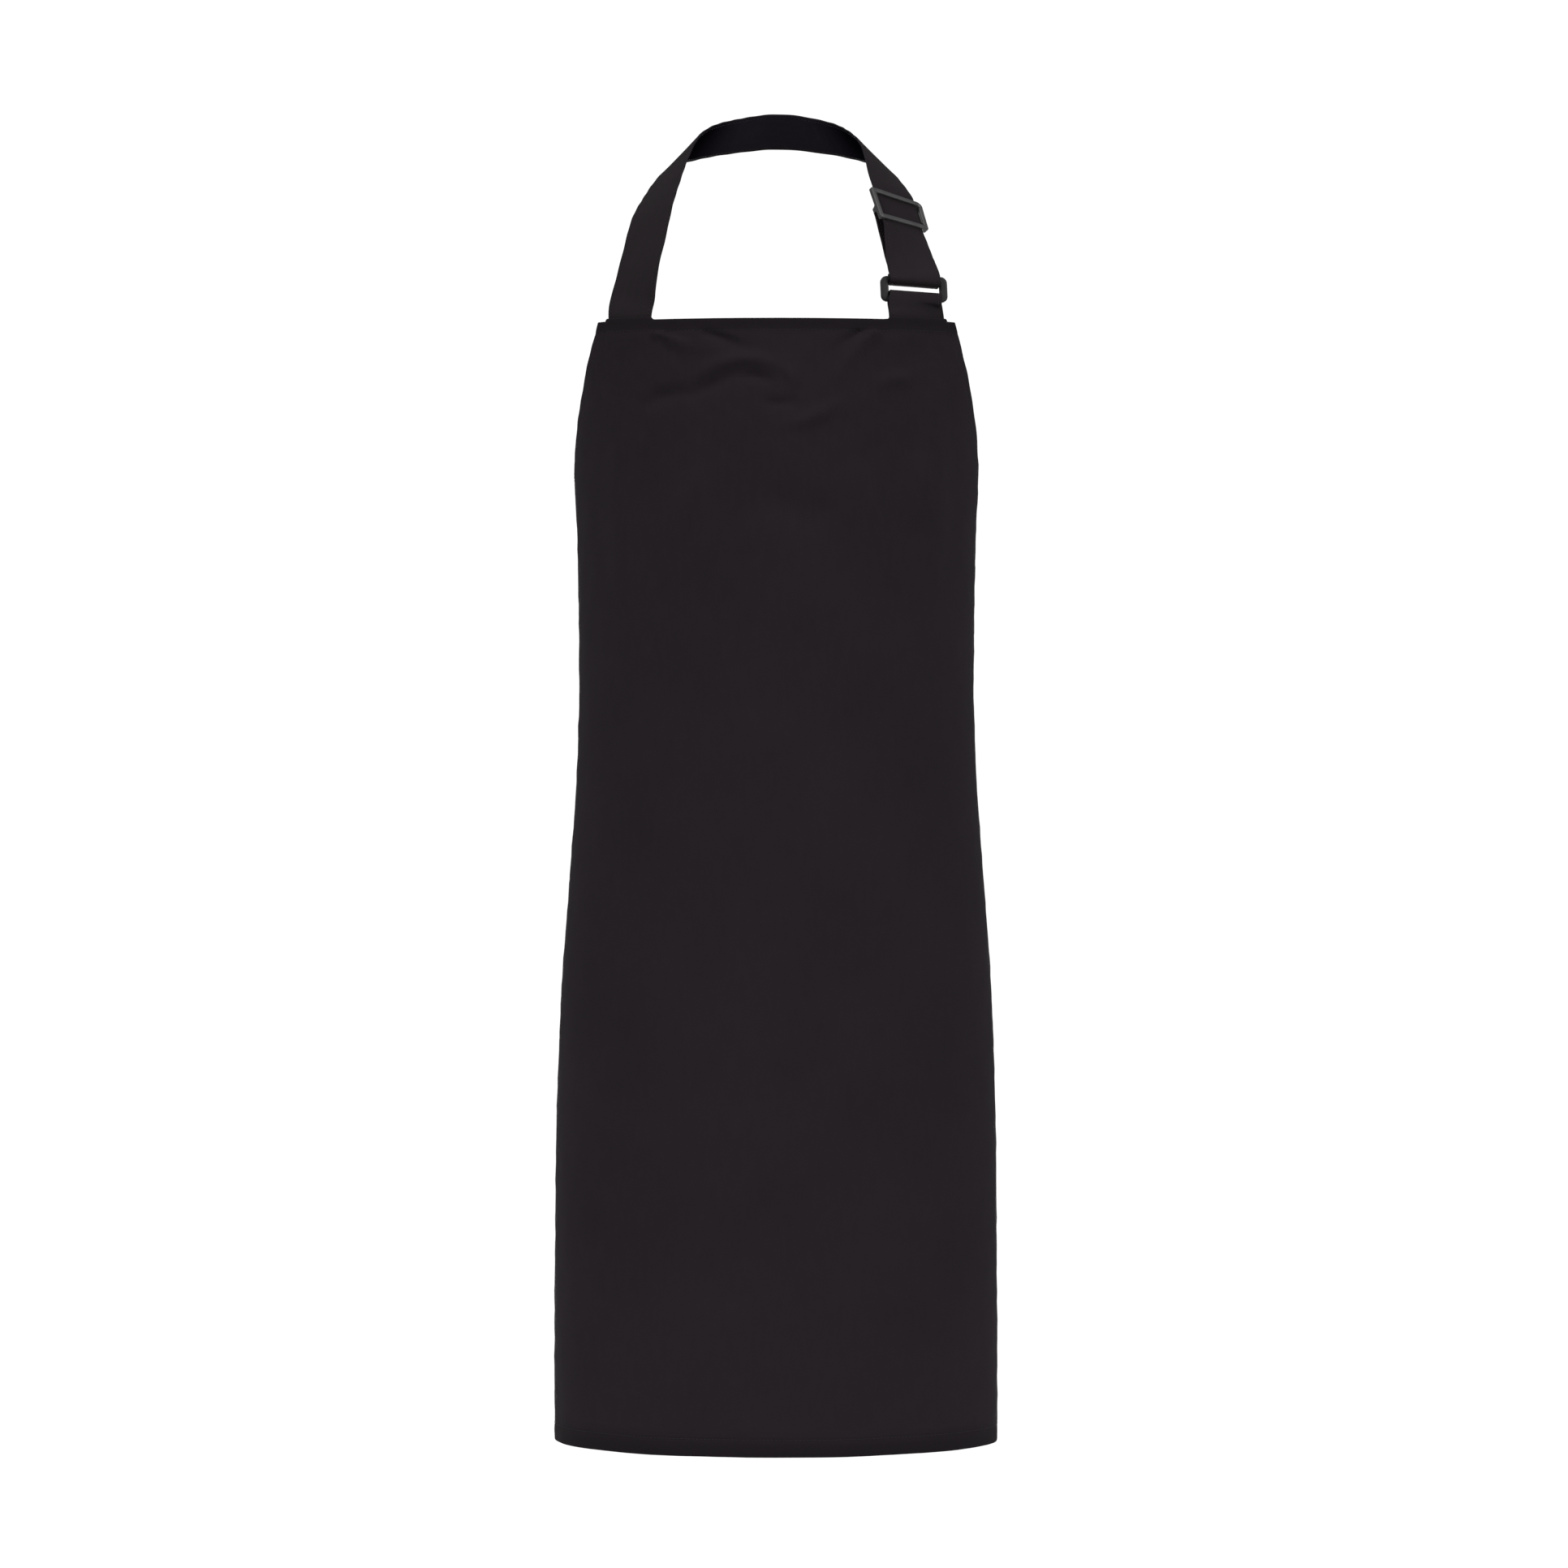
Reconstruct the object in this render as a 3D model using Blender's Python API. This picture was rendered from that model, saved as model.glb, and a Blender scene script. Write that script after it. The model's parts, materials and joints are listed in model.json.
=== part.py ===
"""Bib apron in its worn shape: a cloth panel wrapped round a body, an adjustable neck strap with a
three-bar slider and a rectangular ring, and waist ties tied in a bow behind.

Metres, +Z up. The front faces -Y. The origin is the middle of the neck strap's inner face at the nape.
"""

import math

import bmesh
import bpy
import numpy as np
from mathutils import Matrix

# ---- cloth panel
FRONT_Y = -0.190
BIB_TOP_Z = -0.164
PANEL_LENGTH = 0.860
CLOTH = 0.0012
GAP = 0.0003
TIE_DEPTH = 0.285
ARMHOLE_ROWS = 16
SKIRT_ROWS = 14
COLUMNS = 32

# Depth below the bib's top edge, and the half width of the body that the cloth lies on.
BODY_HALF_WIDTH = [(0.0, 0.1450), (0.04, 0.1510), (0.08, 0.1552), (0.11, 0.1565), (0.16, 0.1547),
                   (0.22, 0.1535), (0.29, 0.1532), (0.36, 0.1560), (0.44, 0.1622), (0.51, 0.1673),
                   (0.60, 0.1706), (0.70, 0.1717), (0.86, 0.1718)]
BODY_HALF_DEPTH = [(0.0, 0.060), (0.06, 0.084), (0.12, 0.104), (0.18, 0.1095), (0.30, 0.110), (0.86, 0.112)]
# Depth below the top edge, and the angle round the body at which the armhole edge lies.
ARMHOLE_WRAP = [(0.0, 70.0), (0.04, 77.0), (0.08, 83.0), (0.11, 90.0), (0.16, 107.0),
                (0.22, 128.0), (0.26, 143.0), (0.285, 149.0)]

# ---- hems
TOP_HEM = 0.010
SIDE_HEM = 0.009
BOTTOM_HEM = 0.014
HEM_CLOTH = 0.0010
HEM_GAP = 0.0010

# ---- straps
STRAP_WIDTH = 0.038
STRAP = 0.0018
TAB_WIDTH = 0.0409
ROOT_DEPTH = 0.018
ROOT_INSET = 0.0072
STRAP_ROOT_X = 0.1130
TAB_ROOT_X = 0.1080

# Middle of the strap's inner face and its outward direction, from the left root up to the nape.
LEFT_SIDE = [((-0.1055, -0.158, -0.129), (-0.60, -0.77, 0.20)),
             ((-0.1000, -0.148, -0.104), (-0.60, -0.74, 0.30)),
             ((-0.0940, -0.133, -0.077), (-0.62, -0.68, 0.40)),
             ((-0.0885, -0.118, -0.0615), (-0.65, -0.58, 0.50)),
             ((-0.0812, -0.092, -0.0415), (-0.68, -0.30, 0.67)),
             ((-0.0715, -0.063, -0.0240), (-0.70, 0.00, 0.72)),
             ((-0.0570, -0.032, -0.0130), (-0.55, 0.35, 0.76)),
             ((-0.0325, -0.008, -0.0045), (-0.28, 0.53, 0.80))]
NAPE = ((0.0, 0.0, 0.0), (0.0, 0.59, 0.81))

# ---- slider, on a straight and flat stretch of the strap
SLIDER_CENTRE = np.array((0.0922, -0.133, -0.0790))
SLIDER_UP = np.array((-0.23, 0.47, 0.86))
SLIDER_OUT = np.array((0.60, -0.62, 0.48))
SLIDER_WIDTH = 0.0482
SLIDER_HEIGHT = 0.0270
SLIDER_BAR = 0.0037
SLIDER_WINDOW = 0.0396
SLIDER_FRONT = (0.0024, 0.0048)
CENTRE_BAR_OUT = -0.0042
CENTRE_BAR = (0.0036, 0.0024)
CHEEK_FRONT = 0.0090
FLAT_ABOVE = 0.0185
FLAT_BELOW = 0.0250

# ---- rectangular ring
RING_BAR_CENTRE = np.array((0.1046, -0.1600, -0.1332))
RING_UP = np.array((0.02, 0.20, 0.97))
RING_OUT = np.array((0.20, -0.94, 0.24))
RING_PITCH = 0.0140
RING_BAR = 0.0036
RING_WINDOW = 0.0415
RING_END = 0.0050
RING_TILT_ROOM = 0.0017
FOLD_ROOM = 0.0006

# ---- waist ties and bow
TIE_WIDTH = 0.025
TIE = 0.0012
TIE_ROOT = 0.020
TIE_INSET = 0.0050
KNOT_SIZE = (0.026, 0.018, 0.030)
KNOT_Y = 0.042
LOOP_LENGTH = 0.090
LOOP_BULGE = 0.009
LOOP_DROP = 14.0
TAIL_LENGTH = 0.300

COLOURS = {
    "cloth": ((0.018, 0.014, 0.017), 0.85),
    "strap": ((0.017, 0.014, 0.017), 0.80),
    "plastic": ((0.045, 0.043, 0.045), 0.45),
    "thread": ((0.022, 0.018, 0.021), 0.60),
}


def unit(vector):
    vector = np.asarray(vector, float)
    return vector / np.linalg.norm(vector, axis=-1, keepdims=True)


def smooth(positions, stations, values):
    """Cubic curve through the values at the stations, read at the positions."""
    stations = np.asarray(stations, float)
    values = np.asarray(values, float)
    slopes = np.gradient(values, stations, axis=0)
    low = np.clip(np.searchsorted(stations, positions) - 1, 0, len(stations) - 2)
    step = stations[low + 1] - stations[low]
    part = (positions - stations[low]) / step
    if values.ndim > 1:
        step = step[:, None]
        part = part[:, None]
    return (
        (2 * part**3 - 3 * part**2 + 1) * values[low]
        + (part**3 - 2 * part**2 + part) * step * slopes[low]
        + (3 * part**2 - 2 * part**3) * values[low + 1]
        + (part**3 - part**2) * step * slopes[low + 1]
    )


def lookup(table, depth):
    stations, values = zip(*table)
    return float(smooth(np.array([depth]), stations, values)[0])


def clear_scene():
    for item in list(bpy.data.objects):
        bpy.data.objects.remove(item, do_unlink=True)


def make_material(name):
    colour, roughness = COLOURS[name]
    material = bpy.data.materials.new(name)
    material.use_nodes = True
    shader = material.node_tree.nodes["Principled BSDF"]
    shader.inputs["Base Color"].default_value = (*colour, 1.0)
    shader.inputs["Roughness"].default_value = roughness
    shader.inputs["Metallic"].default_value = 0.0
    return material


def add_object(name, bm, material, origin=(0.0, 0.0, 0.0)):
    """Makes the object, with its origin at the given place and its shape where it was drawn."""
    bmesh.ops.recalc_face_normals(bm, faces=bm.faces)
    bmesh.ops.translate(bm, verts=bm.verts, vec=[-value for value in origin])
    mesh = bpy.data.meshes.new(name)
    bm.to_mesh(mesh)
    bm.free()
    mesh.materials.append(material)
    item = bpy.data.objects.new(name, mesh)
    item.location = origin
    bpy.context.scene.collection.objects.link(item)
    return item


def shell(near, far):
    """Closed solid between two grids of points that have the same rows and columns."""
    bm = bmesh.new()
    rows, columns = near.shape[:2]
    sheets = [[[bm.verts.new(point) for point in row] for row in sheet] for sheet in (near, far)]
    for row in range(rows - 1):
        for column in range(columns - 1):
            for sheet in sheets:
                bm.faces.new((sheet[row][column], sheet[row][column + 1],
                              sheet[row + 1][column + 1], sheet[row + 1][column]))
    rim = [(0, column) for column in range(columns)]
    rim += [(row, columns - 1) for row in range(1, rows)]
    rim += [(rows - 1, column) for column in range(columns - 2, -1, -1)]
    rim += [(row, 0) for row in range(rows - 2, 0, -1)]
    for index, (row, column) in enumerate(rim):
        next_row, next_column = rim[(index + 1) % len(rim)]
        bm.faces.new((sheets[0][row][column], sheets[0][next_row][next_column],
                      sheets[1][next_row][next_column], sheets[1][row][column]))
    return bm


def ribbon_solid(route, outward, width, thickness):
    """Flat strap: the route is the middle of its inner face, outward the way its outer face looks."""
    route = np.asarray(route)
    along = unit(np.gradient(route, axis=0))
    outward = np.asarray(outward)
    outward = unit(outward - (outward * along).sum(1, keepdims=True) * along)
    side = unit(np.cross(outward, along)) * width / 2
    inner = np.stack([route - side, route + side], axis=1)
    outer = inner + outward[:, None] * thickness
    return shell(inner, outer)


def strap_route(stations, step=0.006):
    """Points and outward directions every step along a smooth curve through the stations."""
    points = np.array([point for point, _ in stations])
    outward = np.array([direction for _, direction in stations])
    distance = np.concatenate([[0.0], np.cumsum(np.linalg.norm(np.diff(points, axis=0), axis=1))])
    count = max(2, int(round(distance[-1] / step)) + 1)
    read = np.linspace(0.0, distance[-1], count)
    return smooth(read, distance, points), unit(smooth(read, distance, outward))


def mirrored(stations):
    """The same stations on the other side of the body."""
    return [((-x, y, z), (-out_x, out_y, out_z)) for (x, y, z), (out_x, out_y, out_z) in stations]


# ---- the cloth's surface

def body_arc(depth):
    """Angles round the body from the front, and the cloth length from the front to each."""
    half_width = lookup(BODY_HALF_WIDTH, depth)
    half_depth = lookup(BODY_HALF_DEPTH, depth)
    angles = np.linspace(0.0, math.pi, 361)
    speed = np.hypot(half_width * np.cos(angles), half_depth * np.sin(angles))
    steps = (speed[1:] + speed[:-1]) / 2 * np.diff(angles)
    return angles, np.concatenate([[0.0], np.cumsum(steps)])


def edge_length(depth):
    """Cloth length from the centre front to the armhole edge or the side edge."""
    depth = min(depth, TIE_DEPTH)
    angles, lengths = body_arc(depth)
    return float(np.interp(math.radians(lookup(ARMHOLE_WRAP, depth)), angles, lengths))


def body_point(angle, depth):
    """Point of the body's surface, and the direction from it towards the inside."""
    half_width = lookup(BODY_HALF_WIDTH, depth)
    half_depth = lookup(BODY_HALF_DEPTH, depth)
    point = np.array((half_width * math.sin(angle),
                      FRONT_Y + half_depth * (1.0 - math.cos(angle)),
                      BIB_TOP_Z - depth))
    inward = unit((-math.sin(angle) / half_width, math.cos(angle) / half_depth, 0.0))
    return point, inward


def cloth_angle(length, depth):
    angles, lengths = body_arc(depth)
    return math.copysign(float(np.interp(abs(length), lengths, angles)), length)


class Panel:
    """The cloth's outer face as a grid, so that the hems share its facets."""

    def __init__(self):
        self.depths = np.concatenate([
            np.linspace(0.0, TIE_DEPTH, ARMHOLE_ROWS + 1),
            np.linspace(TIE_DEPTH, PANEL_LENGTH, SKIRT_ROWS + 1)[1:],
        ])
        self.shares = np.linspace(-1.0, 1.0, COLUMNS + 1)
        self.edges = np.array([edge_length(depth) for depth in self.depths])
        pairs = [[body_point(cloth_angle(share * edge, depth), depth) for share in self.shares]
                 for depth, edge in zip(self.depths, self.edges)]
        self.points = np.array([[point for point, _ in row] for row in pairs])
        self.inward = np.array([[inward for _, inward in row] for row in pairs])

    def read(self, grid, share, depth):
        """Value on the facets at a share of the half width and a depth."""
        row = int(np.clip(np.searchsorted(self.depths, depth) - 1, 0, len(self.depths) - 2))
        column = int(np.clip(np.searchsorted(self.shares, share) - 1, 0, len(self.shares) - 2))
        down = (depth - self.depths[row]) / (self.depths[row + 1] - self.depths[row])
        across = (share - self.shares[column]) / (self.shares[column + 1] - self.shares[column])
        upper = grid[row, column] * (1 - across) + grid[row, column + 1] * across
        lower = grid[row + 1, column] * (1 - across) + grid[row + 1, column + 1] * across
        return upper * (1 - down) + lower * down

    def share_at(self, length, depth):
        return length / float(np.interp(depth, self.depths, self.edges))

    def place(self, length, depth, inset):
        """Point at a cloth length from the centre front, a depth and a distance inwards."""
        share = self.share_at(length, depth)
        inward = unit(self.read(self.inward, share, depth))
        return self.read(self.points, share, depth) + inward * inset, inward

    def solid(self):
        return shell(self.points, self.points + self.inward * CLOTH)

    def patch(self, lengths, depths, near, far):
        """Layer that follows the cloth: lengths gives its two sides as functions of depth."""
        inner_depths = self.depths[(self.depths > depths[0] + 0.001) & (self.depths < depths[1] - 0.001)]
        layers = []
        for inset in (near, far):
            grid = []
            for depth in [depths[0], *inner_depths, depths[1]]:
                first = self.share_at(lengths[0](depth), depth)
                last = self.share_at(lengths[1](depth), depth)
                inner = self.shares[(self.shares > first + 0.004) & (self.shares < last - 0.004)]
                if last - first < 0.2:
                    inner = []
                row = []
                for share in [first, *inner, last]:
                    inward = unit(self.read(self.inward, share, depth))
                    row.append(self.read(self.points, share, depth) + inward * inset)
                grid.append(row)
            layers.append(np.array(grid))
        return shell(*layers)

    def edge_at(self, depth):
        return float(np.interp(depth, self.depths, self.edges))

    def length_at_x(self, x):
        """Cloth length from the centre front at which the top edge has this x."""
        samples = np.linspace(0.0, self.edges[0], 400)
        return float(np.interp(abs(x), [self.place(s, 0.0, 0.0)[0][0] for s in samples], samples))


def make_hems(panel, material):
    near = CLOTH + HEM_GAP
    far = near + HEM_CLOTH

    def outer(depth):
        return panel.edge_at(depth) - GAP

    def inner(depth):
        return panel.edge_at(depth) - SIDE_HEM

    def past(depth):
        return panel.edge_at(depth) - SIDE_HEM - 2 * GAP

    top = panel.patch((lambda d: -past(d), past), (GAP, TOP_HEM), near, far)
    add_object("bib_top_hem", top, material)
    bottom_depths = (PANEL_LENGTH - BOTTOM_HEM, PANEL_LENGTH - GAP)
    bottom = panel.patch((lambda d: -outer(d), outer), bottom_depths, near, far)
    add_object("bottom_hem", bottom, material)
    for name, depths in (
        ("armhole_hem", (GAP, TIE_DEPTH - GAP)),
        ("side_hem", (TIE_DEPTH + GAP, PANEL_LENGTH - BOTTOM_HEM - 2 * GAP)),
    ):
        left = panel.patch((lambda d: -outer(d), lambda d: -inner(d)), depths, near, far)
        add_object(name + "_left", left, material)
        right = panel.patch((inner, outer), depths, near, far)
        add_object(name + "_right", right, material)


def make_bartack(panel, name, length, depth, width, material):
    """Dense row of thread on the panel's outer face, over a strap's root."""
    half = width / 2
    sides = (lambda d: length - half, lambda d: length + half)
    rows = (depth - 0.0009, depth + 0.0009)
    add_object(name, panel.patch(sides, rows, -0.0008, -GAP), material)


# ---- neck strap, ring and slider

def frame_axes(up, out):
    """Right, up and out directions at right angles, from an up direction and a rough out one."""
    up = unit(up)
    out = unit(out - np.dot(out, up) * up)
    return unit(np.cross(up, out)), up, out


def placed(origin, axes, local):
    return origin + local[0] * axes[0] + local[1] * axes[1] + local[2] * axes[2]


def fold_round(centre, axes, out_room, down_room, count=7):
    """Half turn under a bar: from its front, below it, to its back."""
    angles = np.linspace(0.0, math.pi - 1e-9, count)
    points = []
    for angle in angles:
        down = down_room * math.sin(angle) ** 0.6
        out = math.copysign(out_room * abs(math.cos(angle)) ** 0.6, math.cos(angle))
        points.append(placed(centre, axes, (0.0, -down, out)))
    outward = [-math.sin(a) * axes[1] + math.cos(a) * axes[2] for a in angles]
    return list(zip(points, outward))


def root_stations(panel, length, inset):
    """Stations of a strap behind the panel's top edge, from its sewn end up to the edge."""
    stations = []
    for depth in (ROOT_DEPTH, ROOT_DEPTH / 2, 0.0):
        point, inward = panel.place(length, depth, inset)
        stations.append((point, -inward))
    return stations


def make_neck_strap(panel, slider_axes, ring_axes, material):
    left_root = root_stations(panel, -panel.length_at_x(STRAP_ROOT_X), ROOT_INSET)
    right_side = mirrored(LEFT_SIDE)[::-1][:3]
    flat = [(SLIDER_CENTRE + slider_axes[1] * shift, slider_axes[2])
            for shift in (FLAT_ABOVE, FLAT_ABOVE / 2, 0.0, -FLAT_BELOW / 2, -FLAT_BELOW)]
    ring_room = RING_BAR / 2 + RING_TILT_ROOM
    above_ring = [(placed(RING_BAR_CENTRE, ring_axes, (0.0, shift, ring_room)), ring_axes[2])
                  for shift in (0.0085, 0.0050)]
    stations = left_root + LEFT_SIDE + [NAPE] + right_side + flat + above_ring
    route, outward = strap_route(stations)
    turn = fold_round(RING_BAR_CENTRE, ring_axes, ring_room, RING_BAR / 2 + FOLD_ROOM)
    behind = (placed(RING_BAR_CENTRE, ring_axes, (0.0, 0.005, -ring_room)), -ring_axes[2])
    end_stations = turn + [behind]
    route = np.concatenate([route, [point for point, _ in end_stations]])
    outward = np.concatenate([outward, [direction for _, direction in end_stations]])
    add_object("neck_strap", ribbon_solid(route, outward, STRAP_WIDTH, STRAP), material)


def loop_depth():
    """How far behind the strap's inner face the end loop's rear layer has its inner face."""
    return CENTRE_BAR_OUT - CENTRE_BAR[1] / 2 - 0.00035


def make_strap_end(slider_axes, ring_axes, strap_material, thread_material):
    """The strap's tail behind its front layer, and the sewn loop that holds the centre bar."""
    rear = loop_depth()
    front = CENTRE_BAR_OUT + CENTRE_BAR[1] / 2 + 0.00035
    middle = (rear + front) / 2
    reach = (front - rear) / 2
    stations = []
    for shift in (-0.0150, -0.0090, -0.0030):
        stations.append((placed(SLIDER_CENTRE, slider_axes, (0, shift, rear)), -slider_axes[2]))
    rise = CENTRE_BAR[0] / 2 + FOLD_ROOM
    for angle in np.linspace(math.radians(20), math.radians(160), 6):
        height = rise * math.sin(angle) ** 0.6
        depth = math.copysign(reach * abs(math.cos(angle)) ** 0.6, math.cos(angle))
        local = (0, height, middle - depth)
        direction = math.sin(angle) * slider_axes[1] - math.cos(angle) * slider_axes[2]
        stations.append((placed(SLIDER_CENTRE, slider_axes, local), direction))
    for shift in (-0.0030, -0.0095):
        stations.append((placed(SLIDER_CENTRE, slider_axes, (0, shift, front)), slider_axes[2]))
    route = [point for point, _ in stations]
    outward = [direction for _, direction in stations]
    add_object("strap_end_loop", ribbon_solid(route, outward, STRAP_WIDTH, STRAP),
               strap_material, SLIDER_CENTRE)

    stitch_out = rear - STRAP - GAP
    stitch = [placed(SLIDER_CENTRE, slider_axes, (0, shift, stitch_out)) for shift in (-0.0095, -0.0075)]
    bartack = ribbon_solid(stitch, [-slider_axes[2]] * 2, STRAP_WIDTH - 0.006, 0.0006)
    add_object("strap_end_bartack", bartack, thread_material, SLIDER_CENTRE)

    ring_room = RING_BAR / 2 + RING_TILT_ROOM
    low = [(placed(RING_BAR_CENTRE, ring_axes, (0, shift, -ring_room)), -ring_axes[2])
           for shift in (0.0060, 0.0085)]
    high = [(placed(SLIDER_CENTRE, slider_axes, (0, shift, rear)), -slider_axes[2])
            for shift in (-FLAT_BELOW, -0.0154)]
    route, outward = strap_route(low + high, 0.005)
    add_object("strap_tail", ribbon_solid(route, outward, STRAP_WIDTH, STRAP), strap_material)


def make_ring_tab(panel, ring_axes, material):
    """Doubled strap sewn behind the bib, folded over the ring's lower bar."""
    lower_bar = RING_BAR_CENTRE - ring_axes[1] * RING_PITCH
    flipped = (ring_axes[0], -ring_axes[1], -ring_axes[2])
    room = RING_BAR / 2 + FOLD_ROOM
    length = panel.length_at_x(TAB_ROOT_X)
    back_root = root_stations(panel, length, ROOT_INSET + STRAP + 0.0022)
    front_root = root_stations(panel, length, ROOT_INSET)
    back = [(point, -direction) for point, direction in back_root]
    turn = fold_round(lower_bar, flipped, room, room)
    front = front_root[::-1]
    rise = [(placed(lower_bar, ring_axes, (0, -0.004, -room)), -ring_axes[2])]
    fall = [(placed(lower_bar, ring_axes, (0, -0.004, room)), ring_axes[2])]
    up_route, up_out = strap_route(back + rise, 0.005)
    down_route, down_out = strap_route(fall + front, 0.005)
    route = np.concatenate([up_route, [point for point, _ in turn], down_route])
    outward = np.concatenate([up_out, [direction for _, direction in turn], down_out])
    add_object("ring_tab", ribbon_solid(route, outward, TAB_WIDTH, STRAP), material)


def rounded_outline(width, height, radius, corner=4):
    """Counter-clockwise outline of a rectangle with round corners."""
    points = []
    for turn, (sign_x, sign_y) in enumerate(((1, 1), (-1, 1), (-1, -1), (1, -1))):
        centre = (sign_x * (width / 2 - radius), sign_y * (height / 2 - radius))
        for angle in np.linspace(turn * math.pi / 2, (turn + 1) * math.pi / 2, corner):
            points.append((centre[0] + radius * math.cos(angle), centre[1] + radius * math.sin(angle)))
    return points


def frame_mesh(outer, inner, depths):
    """Flat frame between two outlines with the same number of points."""
    bm = bmesh.new()
    loops = [[bm.verts.new((x, y, z)) for x, y in outline] for z in depths for outline in (outer, inner)]
    back_outer, back_inner, front_outer, front_inner = loops
    count = len(outer)
    for index in range(count):
        after = (index + 1) % count
        for first, second in ((back_outer, back_inner), (back_inner, front_inner),
                              (front_inner, front_outer), (front_outer, back_outer)):
            bm.faces.new((first[index], first[after], second[after], second[index]))
    return bm


def set_axes(item, origin, axes):
    """Stands a piece drawn in right, up and out coordinates in its place."""
    turn = Matrix([list(axis) for axis in axes]).transposed()
    item.matrix_world = Matrix.Translation(origin) @ turn.to_4x4()


def prism(name, outline, start, end, material):
    """Solid with the outline in its up and out plane, from one side to the other."""
    bm = bmesh.new()
    face = bm.faces.new([bm.verts.new((start, y, z)) for y, z in outline])
    grown = bmesh.ops.extrude_face_region(bm, geom=[face])
    moved = [piece for piece in grown["geom"] if isinstance(piece, bmesh.types.BMVert)]
    bmesh.ops.translate(bm, verts=moved, vec=(end - start, 0.0, 0.0))
    return add_object(name, bm, material)


def bevel(item, width, segments):
    modifier = item.modifiers.new("edges", "BEVEL")
    modifier.width = width
    modifier.segments = segments
    modifier.limit_method = "ANGLE"
    modifier.angle_limit = math.radians(40)


def make_slider(slider_axes, material):
    """Front frame that the strap passes behind, joined by two cheeks to a centre bar behind the strap."""
    outer = rounded_outline(SLIDER_WIDTH, SLIDER_HEIGHT, 0.0030)
    inner = rounded_outline(SLIDER_WINDOW, SLIDER_HEIGHT - 2 * SLIDER_BAR, 0.0012)
    slider = add_object("tri_glide_slider", frame_mesh(outer, inner, SLIDER_FRONT), material)
    rear = CENTRE_BAR_OUT - CENTRE_BAR[1] / 2
    bar_front = CENTRE_BAR_OUT + CENTRE_BAR[1] / 2
    front = (SLIDER_FRONT[0] + SLIDER_FRONT[1]) / 2
    half_bar = CENTRE_BAR[0] / 2
    side_bar = (SLIDER_WIDTH - SLIDER_WINDOW) / 2
    foot = half_bar + 0.0006
    cheek = [(-CHEEK_FRONT, front), (-foot, rear), (foot, rear), (CHEEK_FRONT, front)]
    bar = [(-half_bar, bar_front), (-half_bar, rear), (half_bar, rear), (half_bar, bar_front)]
    cheek_start = SLIDER_WINDOW / 2 + 0.0002
    cheek_width = side_bar - 0.0008
    pieces = [prism("cheek_left_shape", cheek, -cheek_start - cheek_width, -cheek_start, material),
              prism("cheek_right_shape", cheek, cheek_start, cheek_start + cheek_width, material),
              prism("centre_bar_shape", bar, -cheek_start - 0.001, cheek_start + 0.001, material)]
    for piece in pieces:
        piece.hide_render = True
        piece.display_type = "WIRE"
        union = slider.modifiers.new(piece.name, "BOOLEAN")
        union.operation = "UNION"
        union.object = piece
    bevel(slider, 0.0006, 2)
    for item in (slider, *pieces):
        set_axes(item, SLIDER_CENTRE, slider_axes)


def make_ring(ring_axes, material):
    height = RING_PITCH + RING_BAR
    outer = rounded_outline(RING_WINDOW + 2 * RING_END, height, 0.0042)
    inner = rounded_outline(RING_WINDOW, RING_PITCH - RING_BAR, 0.0012)
    centred = [(x, y + RING_PITCH / 2) for x, y in outer]
    window = [(x, y + RING_PITCH / 2) for x, y in inner]
    depths = (-RING_BAR / 2, RING_BAR / 2)
    ring = add_object("rectangle_ring", frame_mesh(centred, window, depths), material)
    bevel(ring, 0.0010, 2)
    set_axes(ring, RING_BAR_CENTRE - ring_axes[1] * RING_PITCH, ring_axes)


# ---- waist ties

def make_ties(panel, strap_material, thread_material):
    """Two ties, sewn inside the panel's back edges, that run round the body to the knot."""
    edge = panel.edge_at(TIE_DEPTH)
    middle = TIE_DEPTH + TIE_WIDTH / 2 + 0.004
    angles, lengths = body_arc(middle)
    end = float(np.interp(math.pi - 0.105, angles, lengths))
    for side, name in ((-1, "left"), (1, "right")):
        sewn = [(panel.place(side * length, middle, TIE_INSET)[0], -panel.place(side * length, middle, 0)[1])
                for length in (edge - TIE_ROOT, edge - TIE_ROOT / 2, edge - 0.001)]
        free = []
        for part in (0.35, 0.7, 1.0):
            length = edge + (end - edge) * part
            point, inward = body_point(side * float(np.interp(length, lengths, angles)), middle)
            inset = TIE_INSET * (1 - part) - 0.008 * part
            free.append((point + inward * inset, -inward))
        route, outward = strap_route(sewn + free)
        add_object(f"waist_tie_{name}", ribbon_solid(route, outward, TIE_WIDTH, TIE), strap_material)
        half = TIE_ROOT / 2 - 0.003
        root = side * (edge - TIE_ROOT / 2)
        sides = (lambda d, r=root: r - half, lambda d, r=root: r + half)
        rows = (middle - 0.001, middle + 0.001)
        add_object(f"tie_bartack_{name}", panel.patch(sides, rows, -0.0008, -GAP), thread_material)
    return BIB_TOP_Z - middle


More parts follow.
